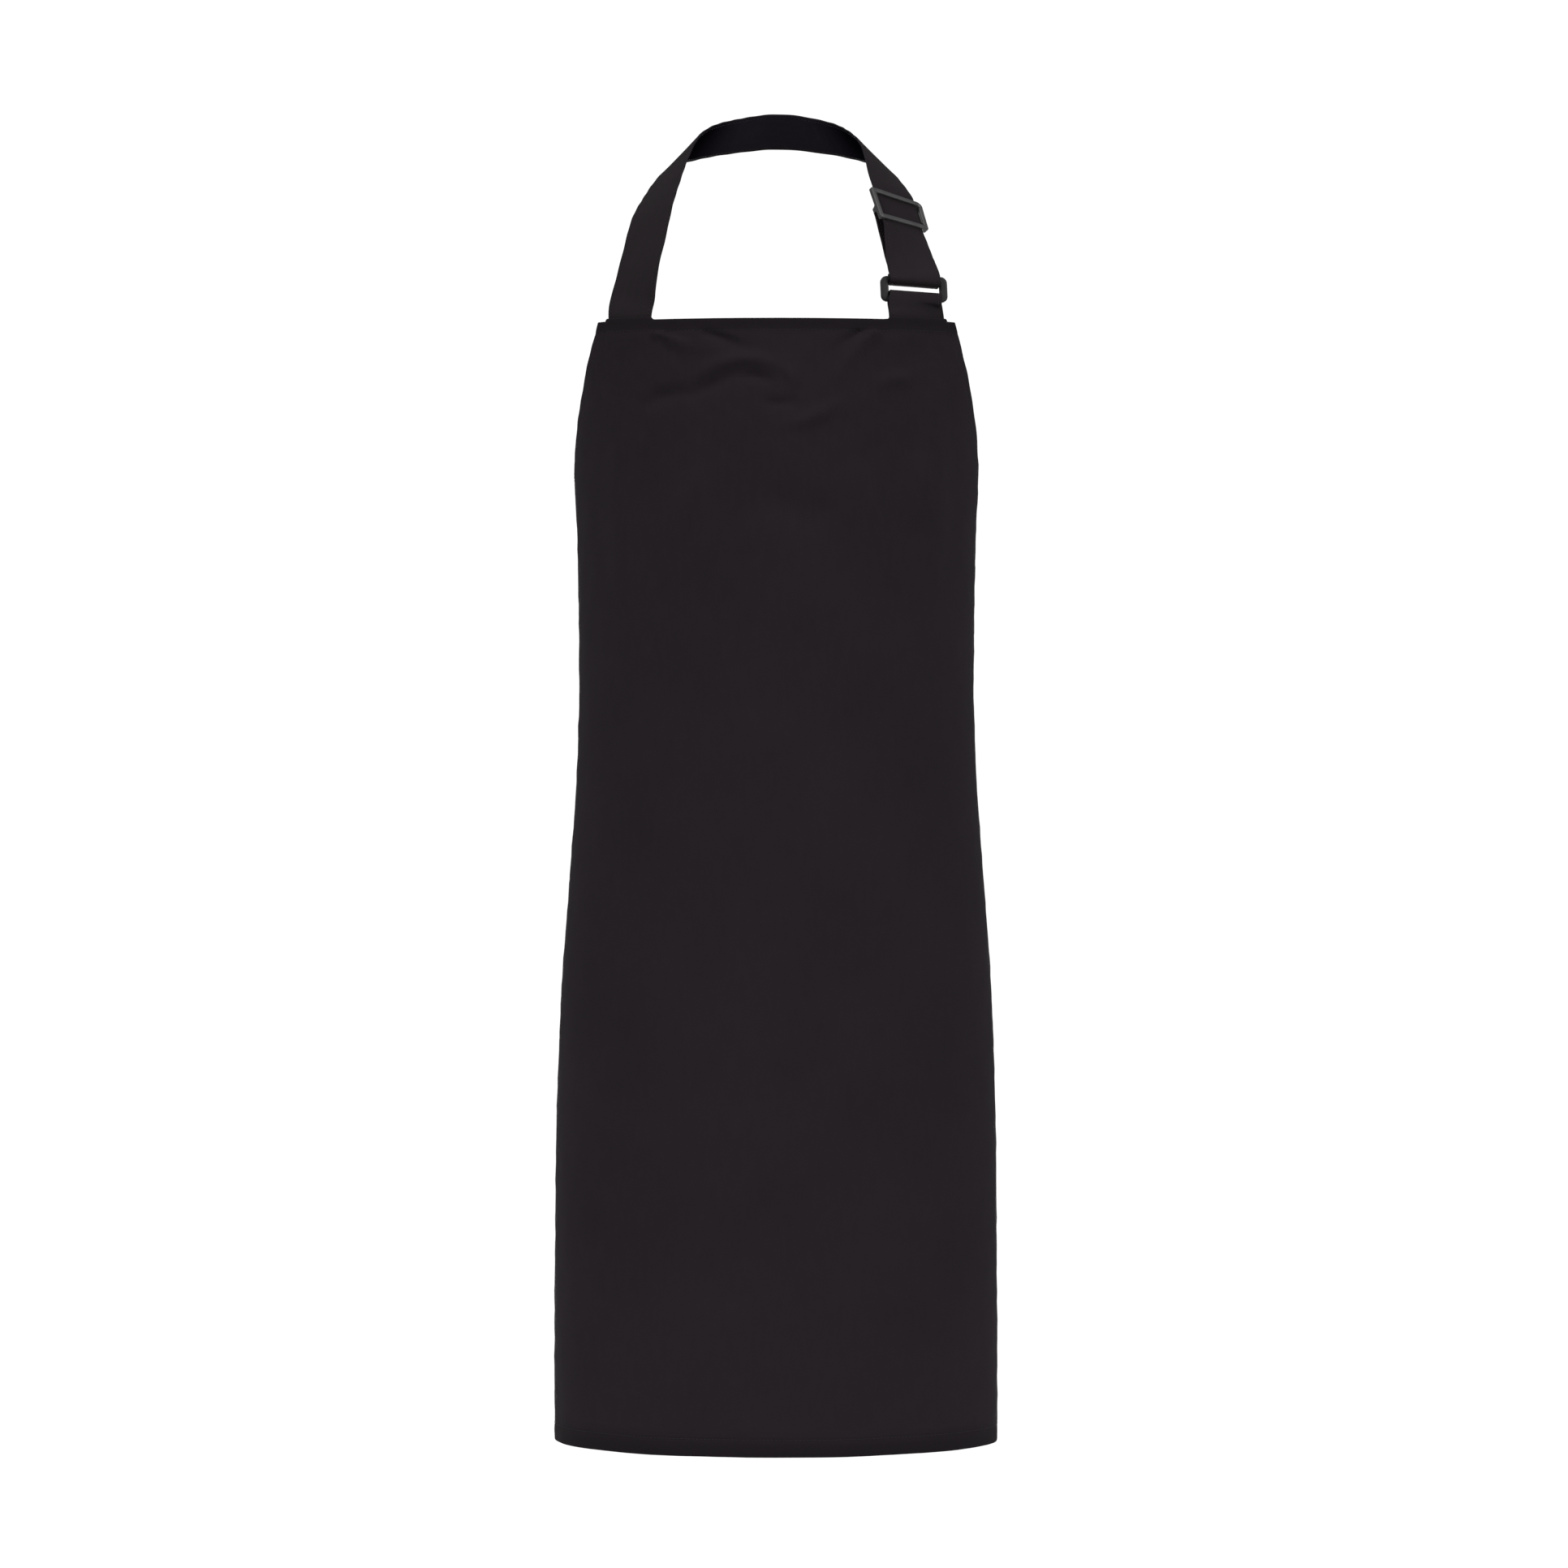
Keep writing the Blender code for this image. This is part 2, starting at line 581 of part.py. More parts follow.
def make_bow(knot_z, material):
    """Knot, two drooping loops, and two free tails that hang from the knot."""
    bm = bmesh.new()
    bmesh.ops.create_icosphere(bm, subdivisions=2, radius=1.0)
    for vert in bm.verts:
        vert.co = [math.copysign(abs(value) ** 0.75, value) for value in vert.co]
    bmesh.ops.scale(bm, vec=[size / 2 for size in KNOT_SIZE], verts=bm.verts)
    bmesh.ops.translate(bm, vec=(0.0, KNOT_Y, knot_z), verts=bm.verts)
    add_object("bow_knot", bm, material)

    droop = math.radians(LOOP_DROP)
    for side, name in ((-1, "left"), (1, "right")):
        away = np.array((side * math.cos(droop), 0.0, -math.sin(droop)))
        start = np.array((side * 0.0085, KNOT_Y + 0.010, knot_z + 0.007))
        turns = np.linspace(0.62, 2 * math.pi - 0.62, 25)
        reach = LOOP_LENGTH * (1 - np.cos(turns)) / 2
        bulge = -LOOP_BULGE * np.sin(turns) * np.sqrt(np.sin(turns / 2))
        route = start + reach[:, None] * away + bulge[:, None] * np.array((0.0, 1.0, 0.0))
        along = unit(np.gradient(route, axis=0))
        across = np.cross(away, (0.0, 1.0, 0.0))
        outward = np.cross(along, across)
        add_object(f"bow_loop_{name}", ribbon_solid(route, outward, TIE_WIDTH, TIE), material)

        top = np.array((side * 0.0140, KNOT_Y - 0.004, knot_z - KNOT_SIZE[2] / 2 - 0.001))
        down = np.linspace(0.0, 1.0, 17)
        spread = side * 0.030 * down**1.5
        sway = 0.004 * np.sin(down * 2.2 * math.pi)
        tail = top + np.stack([spread, sway, -TAIL_LENGTH * down], axis=1)
        facing = unit(np.stack([side * 0.35 * np.sin(down * math.pi), np.ones(17), np.zeros(17)], axis=1))
        add_object(f"bow_tail_{name}", ribbon_solid(tail, facing, TIE_WIDTH, TIE), material, top)


def build():
    clear_scene()
    materials = {name: make_material(name) for name in COLOURS}
    panel = Panel()
    add_object("front_panel", panel.solid(), materials["cloth"])
    make_hems(panel, materials["cloth"])
    slider_axes = frame_axes(SLIDER_UP, SLIDER_OUT)
    ring_axes = frame_axes(RING_UP, RING_OUT)
    make_neck_strap(panel, slider_axes, ring_axes, materials["strap"])
    make_strap_end(slider_axes, ring_axes, materials["strap"], materials["thread"])
    make_ring_tab(panel, ring_axes, materials["strap"])
    make_slider(slider_axes, materials["plastic"])
    make_ring(ring_axes, materials["plastic"])
    seam = TOP_HEM - 0.0012
    strap_length = -panel.length_at_x(STRAP_ROOT_X)
    tab_length = panel.length_at_x(TAB_ROOT_X)
    make_bartack(panel, "strap_root_bartack", strap_length, seam, STRAP_WIDTH, materials["thread"])
    make_bartack(panel, "tab_root_bartack", tab_length, seam, TAB_WIDTH, materials["thread"])
    knot_z = make_ties(panel, materials["strap"], materials["thread"])
    make_bow(knot_z, materials["strap"])


build()
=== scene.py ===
"""Looks of the black bib apron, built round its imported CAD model: hemmed and creased cloth, edge-stitched
straps and ties, a tied bow, and moulded plastic hardware. Metres, in the CAD model's own frame."""

import json
import math

import bmesh
import bpy
import numpy as np
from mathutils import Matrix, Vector


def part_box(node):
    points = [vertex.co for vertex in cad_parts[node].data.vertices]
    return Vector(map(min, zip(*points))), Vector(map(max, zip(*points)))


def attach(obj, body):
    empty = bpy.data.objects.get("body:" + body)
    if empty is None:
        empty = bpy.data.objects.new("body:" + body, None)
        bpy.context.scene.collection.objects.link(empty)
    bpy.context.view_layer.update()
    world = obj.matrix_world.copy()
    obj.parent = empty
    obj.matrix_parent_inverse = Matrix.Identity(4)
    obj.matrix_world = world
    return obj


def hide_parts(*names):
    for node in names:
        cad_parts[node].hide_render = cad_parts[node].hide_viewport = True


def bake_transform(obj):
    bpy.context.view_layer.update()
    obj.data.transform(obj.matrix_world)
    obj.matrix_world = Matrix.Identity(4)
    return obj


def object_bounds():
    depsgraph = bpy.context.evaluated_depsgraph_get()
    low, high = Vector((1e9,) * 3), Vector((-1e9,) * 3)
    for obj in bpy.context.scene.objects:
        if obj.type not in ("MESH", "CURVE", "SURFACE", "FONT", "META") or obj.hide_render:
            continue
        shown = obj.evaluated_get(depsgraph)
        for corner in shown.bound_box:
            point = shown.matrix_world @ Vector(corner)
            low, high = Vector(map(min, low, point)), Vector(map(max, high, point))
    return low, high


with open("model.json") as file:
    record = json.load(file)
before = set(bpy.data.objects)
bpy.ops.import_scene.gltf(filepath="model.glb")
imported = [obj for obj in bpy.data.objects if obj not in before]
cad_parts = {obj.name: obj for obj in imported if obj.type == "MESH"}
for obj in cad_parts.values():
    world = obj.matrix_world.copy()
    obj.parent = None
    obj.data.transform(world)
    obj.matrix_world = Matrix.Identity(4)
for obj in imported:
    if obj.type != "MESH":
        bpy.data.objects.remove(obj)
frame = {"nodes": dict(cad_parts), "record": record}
CAD_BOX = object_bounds()
NODES = frame["nodes"]

# ---- cloth
CLOTH = 0.00055
GRID_STEP = 0.0072      # between the sheet's rows on the skirt
FINE_STEP = 0.0029      # and on the bib, down to BIB_DEPTH, and between all its columns
BIB_DEPTH = 0.105
READ_COLUMNS = 65
READ_STEP = 0.0025
HEM_ROLL = 0.00066
TOP_HEM = 0.0100
SIDE_HEM = 0.0090
BOTTOM_HEM = 0.0145
HEM_SEAM = 0.0012       # from a hem's inner edge to its seam
# Distances from an edge at which the cloth has a row of points, closest where the seam pinches it.
EDGE_ROWS = (0.0022, 0.0040, 0.0058, 0.0070, 0.0078, 0.0086, 0.0094, 0.0102, 0.0112, 0.0125, 0.0140,
             0.0160, 0.0190, 0.0230)
WALE = 0.0007           # between the twill's diagonal ridges

# ---- thread
THREAD_RADIUS = 0.00020
THREAD_SIDES = 6
STITCH_PITCH = 0.0030
STITCH_SHARE = 0.74     # how much of the pitch a stitch covers
SEAM_SINK = 0.00022

# ---- straps and ties
STRAP_THICKNESS = 0.0016
TIE_THICKNESS = 0.0010
EDGE_STITCH = 0.0028
ROUTE_STEP = 0.0030
FINE_ROUTE = 0.0015
NECK_FOLD = 0.0178      # from the end of the neck strap's straight stretch to its end at the ring
SLIDER_FOOT = 0.015     # from the slider's middle down to where that stretch starts
ROOT_LIFT = 0.0021      # how far the top edge stands up over a strap's sewn end
ROOT_STEP = 0.0022
ROOT_SPREAD = 0.94
STRAP_HALF = 0.0202
STRAP_RISE = 0.0012     # how far out the neck strap stands at the slider
RING_ROOM = 0.0007      # and at the ring, RING_FOLD before its end and RING_REACH each way
RING_FOLD, RING_REACH = 0.0142, 0.0140
RING_SQUEEZE = 0.950    # how narrow the strap is drawn in the ring
TAIL_HALF = 0.0195
TAIL_JOIN = 0.0004      # stations closer than this become one, and how far the tail starts inside the fold
LOOP_RISE = 0.0013
LOOP_SQUEEZE = 0.975
TAB_HALF = 0.0206
TAB_SQUEEZE = 0.975
TAB_SPREAD = 1.15
TAB_LIFT = (0.0009, 0.0, 0.0009)
BARTACK_WIDTH = 0.0022
ROOT_BARTACKS = (0.004, 0.013)
TIE_BARTACKS = (0.003, 0.009)
TIE_MARGIN = 0.0016
LOOP_SEWN = 0.0035      # from the sewn loop's end to its bar tack

# ---- bow
TIE_GATHER = (0.030, 0.62, 0.0011)      # reach, share of the width, and height of the gathers
LOOP_GATHER = (0.036, 0.60, 0.0012)
TAIL_GATHER = (0.040, 0.62, 0.0010)
LOOP_INTO_KNOT = 0.0080                 # how far the loops' ends are moved inwards, to lie in the knot
LOOP_END_BACK = 0.0035                  # and how far behind the knot's middle they lie
TAIL_INTO_KNOT = (0.0063, 0.0075)       # how far the tails' ends are moved inwards and up
KNOT_REACH = 0.034                      # over what length a ribbon bends towards the knot
TAIL_HEM = 0.008
KNOT_TURNS, KNOT_COLUMNS = 96, 40
KNOT_WIDTH = 0.94                       # the wrap's size as shares of the CAD knot's
KNOT_FILL = 0.93
# The knot's sides turn in towards the ties: depth, and share of the size left there.
KNOT_SIDES = ((0.0012, 0.86), (0.0035, 0.62), (0.0050, 0.25))

# ---- hardware
SLIDER_THICKNESS = 0.0021
SLIDER_WINDOW = 0.0412
SLIDER_BAR = 0.0039
SLIDER_SIDE_DEPTHS = (0.0040, 0.0056)   # left and right
SLIDER_CORNERS = (0.0040, 0.0012, 0.0016, 0.0016)
SLIDER_WINDOW_CORNERS = (0.0020, 0.0010, 0.0010, 0.0010)
# How far the frame is pulled out of square at its right and left upper and left and right lower corners.
SLIDER_PULL = ((0.0018, -0.0004), (-0.0006, 0.0026), (0.0008, 0.0012), (0.0014, 0.0012))
CENTRE_BAR_OUT = -0.0028
CENTRE_BAR = (0.0034, 0.0020)           # width and depth
CHEEK_HALVES = (0.0056, 0.0015)         # a cheek tapers from the frame to the centre bar
CHEEK_THICKNESS = 0.0010
RING_BAR = 0.0036
RING_END = 0.0062
RING_CORNER = 0.0050
RING_WINDOW_CORNER = 0.0016
ROUND_SIDES = 16
CORNER_STEPS, EDGE_STEPS = 10, 24       # round a frame's corners and along its edges
CHEEK_TOP = -0.0010                     # where the cheeks start behind the frame's middle
CHEEK_STEPS, BAR_STEPS = 6, 12

# ---- studio
FLOOR_DROP = 0.85
FLOOR_SIZE = 2.8
CAMERA_DISTANCE = 3.80
CAMERA_SIDE = 0.0058
CAMERA_HEIGHT = -0.5157
LENS = 115.7
SENSOR = 36.0
BACKGROUND = 1.05
SKY_LIGHT = 0.30
# Name, azimuth, height and spread in degrees, and strength.
SOFTBOXES = (("left", -54.0, 38.0, 24.0, 3.2), ("right", 56.0, 28.0, 30.0, 3.0),
             ("floor", 0.0, 89.0, 50.0, 0.45), ("back", 180.0, -12.0, 30.0, 2.6))

# ---- curves and grids

def unit(vectors):
    vectors = np.asarray(vectors, float)
    return vectors / np.maximum(np.linalg.norm(vectors, axis=-1, keepdims=True), 1e-12)


def cubic(read, stations, values):
    """Cubic curve through the values at the stations, along the first axis."""
    stations = np.asarray(stations, float)
    values = np.asarray(values, float)
    slopes = np.gradient(values, stations, axis=0)
    low = np.clip(np.searchsorted(stations, read) - 1, 0, len(stations) - 2)
    shape = (-1,) + (1,) * (values.ndim - 1)
    step = (stations[low + 1] - stations[low]).reshape(shape)
    part = (np.asarray(read) - stations[low]).reshape(shape) / step
    return (
        (2 * part**3 - 3 * part**2 + 1) * values[low]
        + (part**3 - 2 * part**2 + part) * step * slopes[low]
        + (3 * part**2 - 2 * part**3) * values[low + 1]
        + (part**3 - part**2) * step * slopes[low + 1]
    )


def distances(points):
    """Length along a line of points up to each."""
    return np.concatenate([[0.0], np.cumsum(np.linalg.norm(np.diff(points, axis=0), axis=1))])


def ease(value, low, high):
    """Smooth step from 0 at low to 1 at high."""
    part = np.clip((value - low) / (high - low), 0.0, 1.0)
    return part * part * (3 - 2 * part)


def stepped(start, end, border, fine, coarse):
    """Evenly spaced values from start to end, closer together up to the border."""
    border = min(max(border, start), end)
    first = np.linspace(start, border, max(2, int(round((border - start) / fine)) + 1))
    if end - border < coarse / 2:
        return first
    return np.concatenate([first, np.linspace(border, end, int(round((end - border) / coarse)) + 1)[1:]])


def merged(node):
    """The node's mesh with each corner once, as points and triangles."""
    bm = bmesh.new()
    bm.from_mesh(NODES[node].data)
    bmesh.ops.remove_doubles(bm, verts=bm.verts, dist=1e-6)
    bmesh.ops.triangulate(bm, faces=bm.faces)
    points = np.array([vert.co for vert in bm.verts])
    triangles = np.array([[vert.index for vert in face.verts] for face in bm.faces])
    bm.free()
    return points, triangles


def node_axes(node, up_hint):
    """A moulded part's own right, up and out directions, from its largest flat faces, and its middle."""
    points, triangles = merged(node)
    normals = np.cross(points[triangles[:, 1]] - points[triangles[:, 0]],
                       points[triangles[:, 2]] - points[triangles[:, 0]])
    out = unit(normals[np.argmax(np.linalg.norm(normals, axis=1))])
    out = out if out[1] < 0 else -out
    up = unit(np.array(up_hint) - np.dot(up_hint, out) * out)
    right = unit(np.cross(up, out))
    axes = np.array([right, up, out])
    local = points @ axes.T
    return axes, (local.min(axis=0) + local.max(axis=0)) / 2 @ axes, local.max(axis=0) - local.min(axis=0)


def loft(bm, rings, closed=False, capped=True):
    """Faces from each ring of points to the next, and back to the first if closed. Capped ends are filled."""
    for first, second in zip(rings, rings[1:] + rings[:1] if closed else rings[1:]):
        for k in range(len(first)):
            after = (k + 1) % len(first)
            bm.faces.new((first[k], first[after], second[after], second[k]))
    if capped:
        bm.faces.new(rings[0][::-1])
        bm.faces.new(rings[-1])


def new_object(name, bm, material):
    mesh = bpy.data.meshes.new(name)
    bm.to_mesh(mesh)
    bm.free()
    mesh.materials.append(material)
    item = bpy.data.objects.new(name, mesh)
    bpy.context.scene.collection.objects.link(item)
    return item


def add_piece(name, bm, material, body="root", solid=True):
    """A smooth piece of the object. A solid one has its faces turned outwards first."""
    if solid:
        bmesh.ops.recalc_face_normals(bm, faces=bm.faces)
    item = new_object(name, bm, material)
    item.data.shade_smooth()
    if body:
        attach(item, body)
    return item


def set_cloth_place(item, places):
    """Where each point lies on the flat cloth, for the weave, with its share of painted shade as a third
    value.
    """
    layer = item.data.attributes.new("cloth_place", "FLOAT_VECTOR", "POINT")
    layer.data.foreach_set("vector", np.asarray(places, np.float32).ravel())


# ---- materials

def put(tree, socket, value):
    """Fill an input with another node's output, or with a value."""
    if isinstance(value, bpy.types.NodeSocket):
        tree.links.new(value, socket)
    else:
        socket.default_value = value


def fill(tree, node, **settings):
    """Fill a node's inputs, named with _ for each space, and set its other settings."""
    for key, value in settings.items():
        socket = node.inputs.get(key.replace("_", " "))
        if socket is None:
            setattr(node, key, value)
        else:
            put(tree, socket, value)
    return node


def add_node(tree, kind, **settings):
    return fill(tree, tree.nodes.new(kind), **settings)


def new_material(name):
    material = bpy.data.materials.new(name)
    material.use_nodes = True
    tree = material.node_tree
    return material, tree, tree.nodes["Principled BSDF"]


def math_node(tree, operation, *values):
    node = add_node(tree, "ShaderNodeMath", operation=operation)
    for socket, value in zip(node.inputs, values):
        put(tree, socket, value)
    return node.outputs[0]


def weighted(tree, *terms):
    """The sum of values, each times its weight."""
    total = None
    for value, weight in terms:
        part = math_node(tree, "MULTIPLY", value, weight)
        total = part if total is None else math_node(tree, "ADD", total, part)
    return total


def noise(tree, place, scale, detail, roughness=0.5):
    texture = add_node(tree, "ShaderNodeTexNoise", Vector=place, Scale=scale, Detail=detail,
                       Roughness=roughness)
    return texture.outputs["Fac"]


def ramp(tree, value, low, high, places=(0.0, 1.0)):
    """A colour between two, over two places of the value."""
    node = add_node(tree, "ShaderNodeValToRGB", Fac=value)
    for element, place, colour in zip(node.color_ramp.elements, places, (low, high)):
        element.position = place
        element.color = (*colour, 1.0)
    return node.outputs["Color"]


def mixed(tree, share, colour, other):
    """A colour mixed towards a fixed one."""
    mix = add_node(tree, "ShaderNodeMix", data_type="RGBA", Factor=share)
    put(tree, mix.inputs[6], colour)
    put(tree, mix.inputs[7], (*other, 1.0))
    return mix.outputs[2]


def ranged(tree, value, low, high, start=0.0, end=1.0):
    """The value's range from start to end stretched to low to high."""
    node = add_node(tree, "ShaderNodeMapRange", Value=value, From_Min=start, From_Max=end,
                    To_Min=low, To_Max=high)
    return node.outputs["Result"]


def bump(tree, height, strength, distance):
    node = add_node(tree, "ShaderNodeBump", Height=height, Strength=strength, Distance=distance)
    return node.outputs["Normal"]


def cloth_material(name, colour, painted_shade, sheen=0.02, specular=0.06):
    """Black twill: diagonal wales over warp and weft, slight slubs, lint and an uneven dye, with painted
    shade mixed in by the third value of cloth_place.
    """
    material, tree, shader = new_material(name)
    place = add_node(tree, "ShaderNodeAttribute", attribute_name="cloth_place").outputs["Vector"]
    parts = add_node(tree, "ShaderNodeSeparateXYZ", Vector=place)
    across, along = parts.outputs["X"], parts.outputs["Y"]
    turn = 2 * math.pi / WALE
    wales = math_node(tree, "SINE", weighted(tree, (across, turn), (along, turn * 0.62)))
    yarns = math_node(tree, "SINE", math_node(tree, "MULTIPLY", along, turn * 1.9))
    weave = weighted(tree, (wales, 0.65), (yarns, 0.35))
    stretched = add_node(tree, "ShaderNodeMapping", Vector=place, Scale=(1.0, 0.16, 1.0)).outputs["Vector"]
    slubs = noise(tree, stretched, 260.0, 3.0, 0.6)
    cloud = noise(tree, place, 11.0, 4.0, 0.55)
    dye = weighted(tree, (weave, 0.10), (slubs, 0.42), (cloud, 0.42))
    low, high = ([value * share for value in colour] for share in (0.76, 1.24))
    # Painted shade: the colour is mixed towards the painted shade colour by the third value of cloth_place.
    shown = mixed(tree, parts.outputs["Z"], ramp(tree, dye, low, high, (0.15, 0.75)), painted_shade)
    relief = weighted(tree, (weave, 1.0), (slubs, 0.9))
    fill(tree, shader, Base_Color=shown, Roughness=ranged(tree, slubs, 0.78, 0.94),
         Specular_IOR_Level=specular, Normal=bump(tree, relief, 0.28, 0.00012),
         Sheen_Weight=sheen, Sheen_Roughness=0.45, Sheen_Tint=(0.30, 0.27, 0.29, 1.0))
    return material


def thread_material():
    """Twisted polyester thread, a little glossier than the cloth."""
    material, tree, shader = new_material("thread")
    place = add_node(tree, "ShaderNodeTexCoord").outputs["Object"]
    ply = add_node(tree, "ShaderNodeTexWave", Vector=place, Scale=900.0, Distortion=1.5,
                   wave_type="BANDS", bands_direction="DIAGONAL").outputs["Fac"]
    fill(tree, shader, Base_Color=ramp(tree, ply, (0.0085, 0.0070, 0.0085), (0.0150, 0.0125, 0.0145)),
         Normal=bump(tree, ply, 0.35, 0.00005), Roughness=0.55, Specular_IOR_Level=0.15)
    return material


def plastic_material(name, shade, specular=0.30):
    """Dark grey moulded plastic: fine spark-eroded grain, faint flow marks and rubbed edges."""
    material, tree, shader = new_material(name)
    place = add_node(tree, "ShaderNodeTexCoord").outputs["Object"]
    grain = noise(tree, place, 2600.0, 2.0)
    flow = noise(tree, place, 90.0, 3.0, 0.6)
    low, high, worn = (tuple(value * shade for value in colour) for colour in
                       ((0.024, 0.023, 0.025), (0.034, 0.032, 0.034), (0.062, 0.060, 0.062)))
    pointed = add_node(tree, "ShaderNodeNewGeometry").outputs["Pointiness"]
    edge = ranged(tree, pointed, 0.0, 0.45, 0.52, 0.62)
    fill(tree, shader, Base_Color=mixed(tree, edge, ramp(tree, flow, low, high, (0.3, 0.7)), worn),
         Normal=bump(tree, grain, 0.20, 0.00006), Roughness=ranged(tree, flow, 0.40, 0.56),
         Specular_IOR_Level=specular)
    return material


# The second colour of each cloth is its painted shade colour.
PANEL_CLOTH = cloth_material("panel_cloth", (0.0098, 0.0075, 0.0095), (0.0055, 0.0041, 0.0053))
STRAP_CLOTH = cloth_material("strap_cloth", (0.0100, 0.0078, 0.0094), (0.0040, 0.0030, 0.0050))
# A shaded copy of the strap cloth for the neck strap's inner face, bluer and without gloss, with a near-black
# painted shade colour.
STRAP_INNER_SHADE = cloth_material("strap_inner_painted_shade", (0.0132, 0.0114, 0.0160), (0.0014, 0.0010, 0.0018),
                              sheen=0.0, specular=0.0)
THREAD = thread_material()
PLASTIC = plastic_material("slider_plastic", 0.88)
RING_PLASTIC = plastic_material("ring_plastic", 0.34, specular=0.14)

# ---- stitches

def add_thread(bm, centres, sizes, sides, ups):
    """A closed length of thread through the centres, with its size and the ways across and up at each."""
    angles = np.arange(THREAD_SIDES) * 2 * math.pi / THREAD_SIDES
    loft(bm, [[bm.verts.new(centre + size * (math.cos(a) * side + math.sin(a) * up)) for a in angles]
              for centre, size, side, up in zip(centres, sizes, sides, ups)])


def add_stitches(name, lines, body="root"):
    """Rows of lockstitch. A line is its points and the way out of the cloth at each."""
    bm = bmesh.new()
    rise = THREAD_RADIUS * np.array([-1.1, 0.35, 0.75, 0.35, -1.1])
    size = THREAD_RADIUS * np.array([0.35, 0.85, 1.0, 0.85, 0.35])
    for points, outward in lines:
        along_line = distances(points)
        count = max(1, int(along_line[-1] / STITCH_PITCH))
        starts = (np.arange(count) + 0.5 * (1 - STITCH_SHARE)) * along_line[-1] / count
        span = along_line[-1] / count * STITCH_SHARE
        for start in starts:
            read = start + span * np.array([0.0, 0.12, 0.5, 0.88, 1.0])
            middle = cubic(read, along_line, points)
            up = unit(cubic(read, along_line, outward))
            side = unit(np.cross(unit(np.gradient(middle, axis=0)), up))
            add_thread(bm, middle + up * rise[:, None], size, side, up)
    return add_piece(name, bm, THREAD, body)


def add_bartack(name, lines, node, body="root", turns=30):
    """Dense zigzag stitches across a strap, over a line and the way out at each of its points."""
    bm = bmesh.new()
    for points, outward in lines:
        along = distances(points)
        read = np.linspace(0.0, along[-1], 2 * turns + 1)
        middle = cubic(read, along, points)
        up = unit(cubic(read, along, outward))
        side = unit(np.cross(unit(np.gradient(middle, axis=0)), up))
        swing = np.where(np.arange(len(read)) % 2 == 0, 1.0, -1.0)
        corners = middle + side * (swing * BARTACK_WIDTH / 2)[:, None] + up * (THREAD_RADIUS * 1.1)
        for first, second, out in zip(corners, corners[1:], up):
            sink = out * THREAD_RADIUS * 1.6
            add_bartack_stitch(bm, first - sink, second - sink, out)
    item = add_piece(name, bm, THREAD, body)
    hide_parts(node)
    return item


def add_bartack_stitch(bm, start, end, out):
    """One stitch, arched over the cloth between the two holes it dives into."""
    parts = (0.0, 0.15, 0.5, 0.85, 1.0)
    arches = [math.sin(math.pi * part) for part in parts]
    centres = [start + (end - start) * part + out * THREAD_RADIUS * 2.2 * arch**0.6
               for part, arch in zip(parts, arches)]
    sizes = [THREAD_RADIUS * (0.5 + 0.5 * min(1.0, 2.2 * arch)) for arch in arches]
    add_thread(bm, centres, sizes, [unit(np.cross(unit(end - start), out))] * 5, [out] * 5)


# ---- the panel

class Crease:
    """A soft fold in the cloth along a bent line, strongest at its middle or at its start."""

    def __init__(self, start, middle, end, width, height, fan=False):
        part = np.linspace(0.0, 1.0, 25)[:, None]
        start, middle, end = (np.array(point) for point in (start, middle, end))
        self.line = (1 - part) ** 2 * start + 2 * part * (1 - part) * middle + part**2 * end
        self.width, self.height, self.fan = width, height, fan

    def rise(self, across, down):
        flat = np.stack([across.ravel(), down.ravel()], axis=1)
        near = np.zeros(len(flat))
        reach = np.full(len(flat), np.inf)
        for index, point in enumerate(self.line):
            away = np.hypot(flat[:, 0] - point[0], flat[:, 1] - point[1])
            closer = away < reach
            reach[closer] = away[closer]
            near[closer] = index / (len(self.line) - 1)
        taper = (1 - near) ** 1.5 if self.fan else np.sin(math.pi * near) ** 0.8
        width = self.width * (0.6 + 0.8 * near) if self.fan else self.width
        return (self.height * taper * np.exp(-((reach / width) ** 2))).reshape(across.shape)


def mirrored(crease_facts):
    """The same folds on both sides of the centre line."""
    both = []
    for start, middle, end, width, height, fan in crease_facts:
        for side in (-1, 1):
            points = [(side * across, down) for across, down in (start, middle, end)]
            both.append(Crease(*points, width, height, fan))
    return both


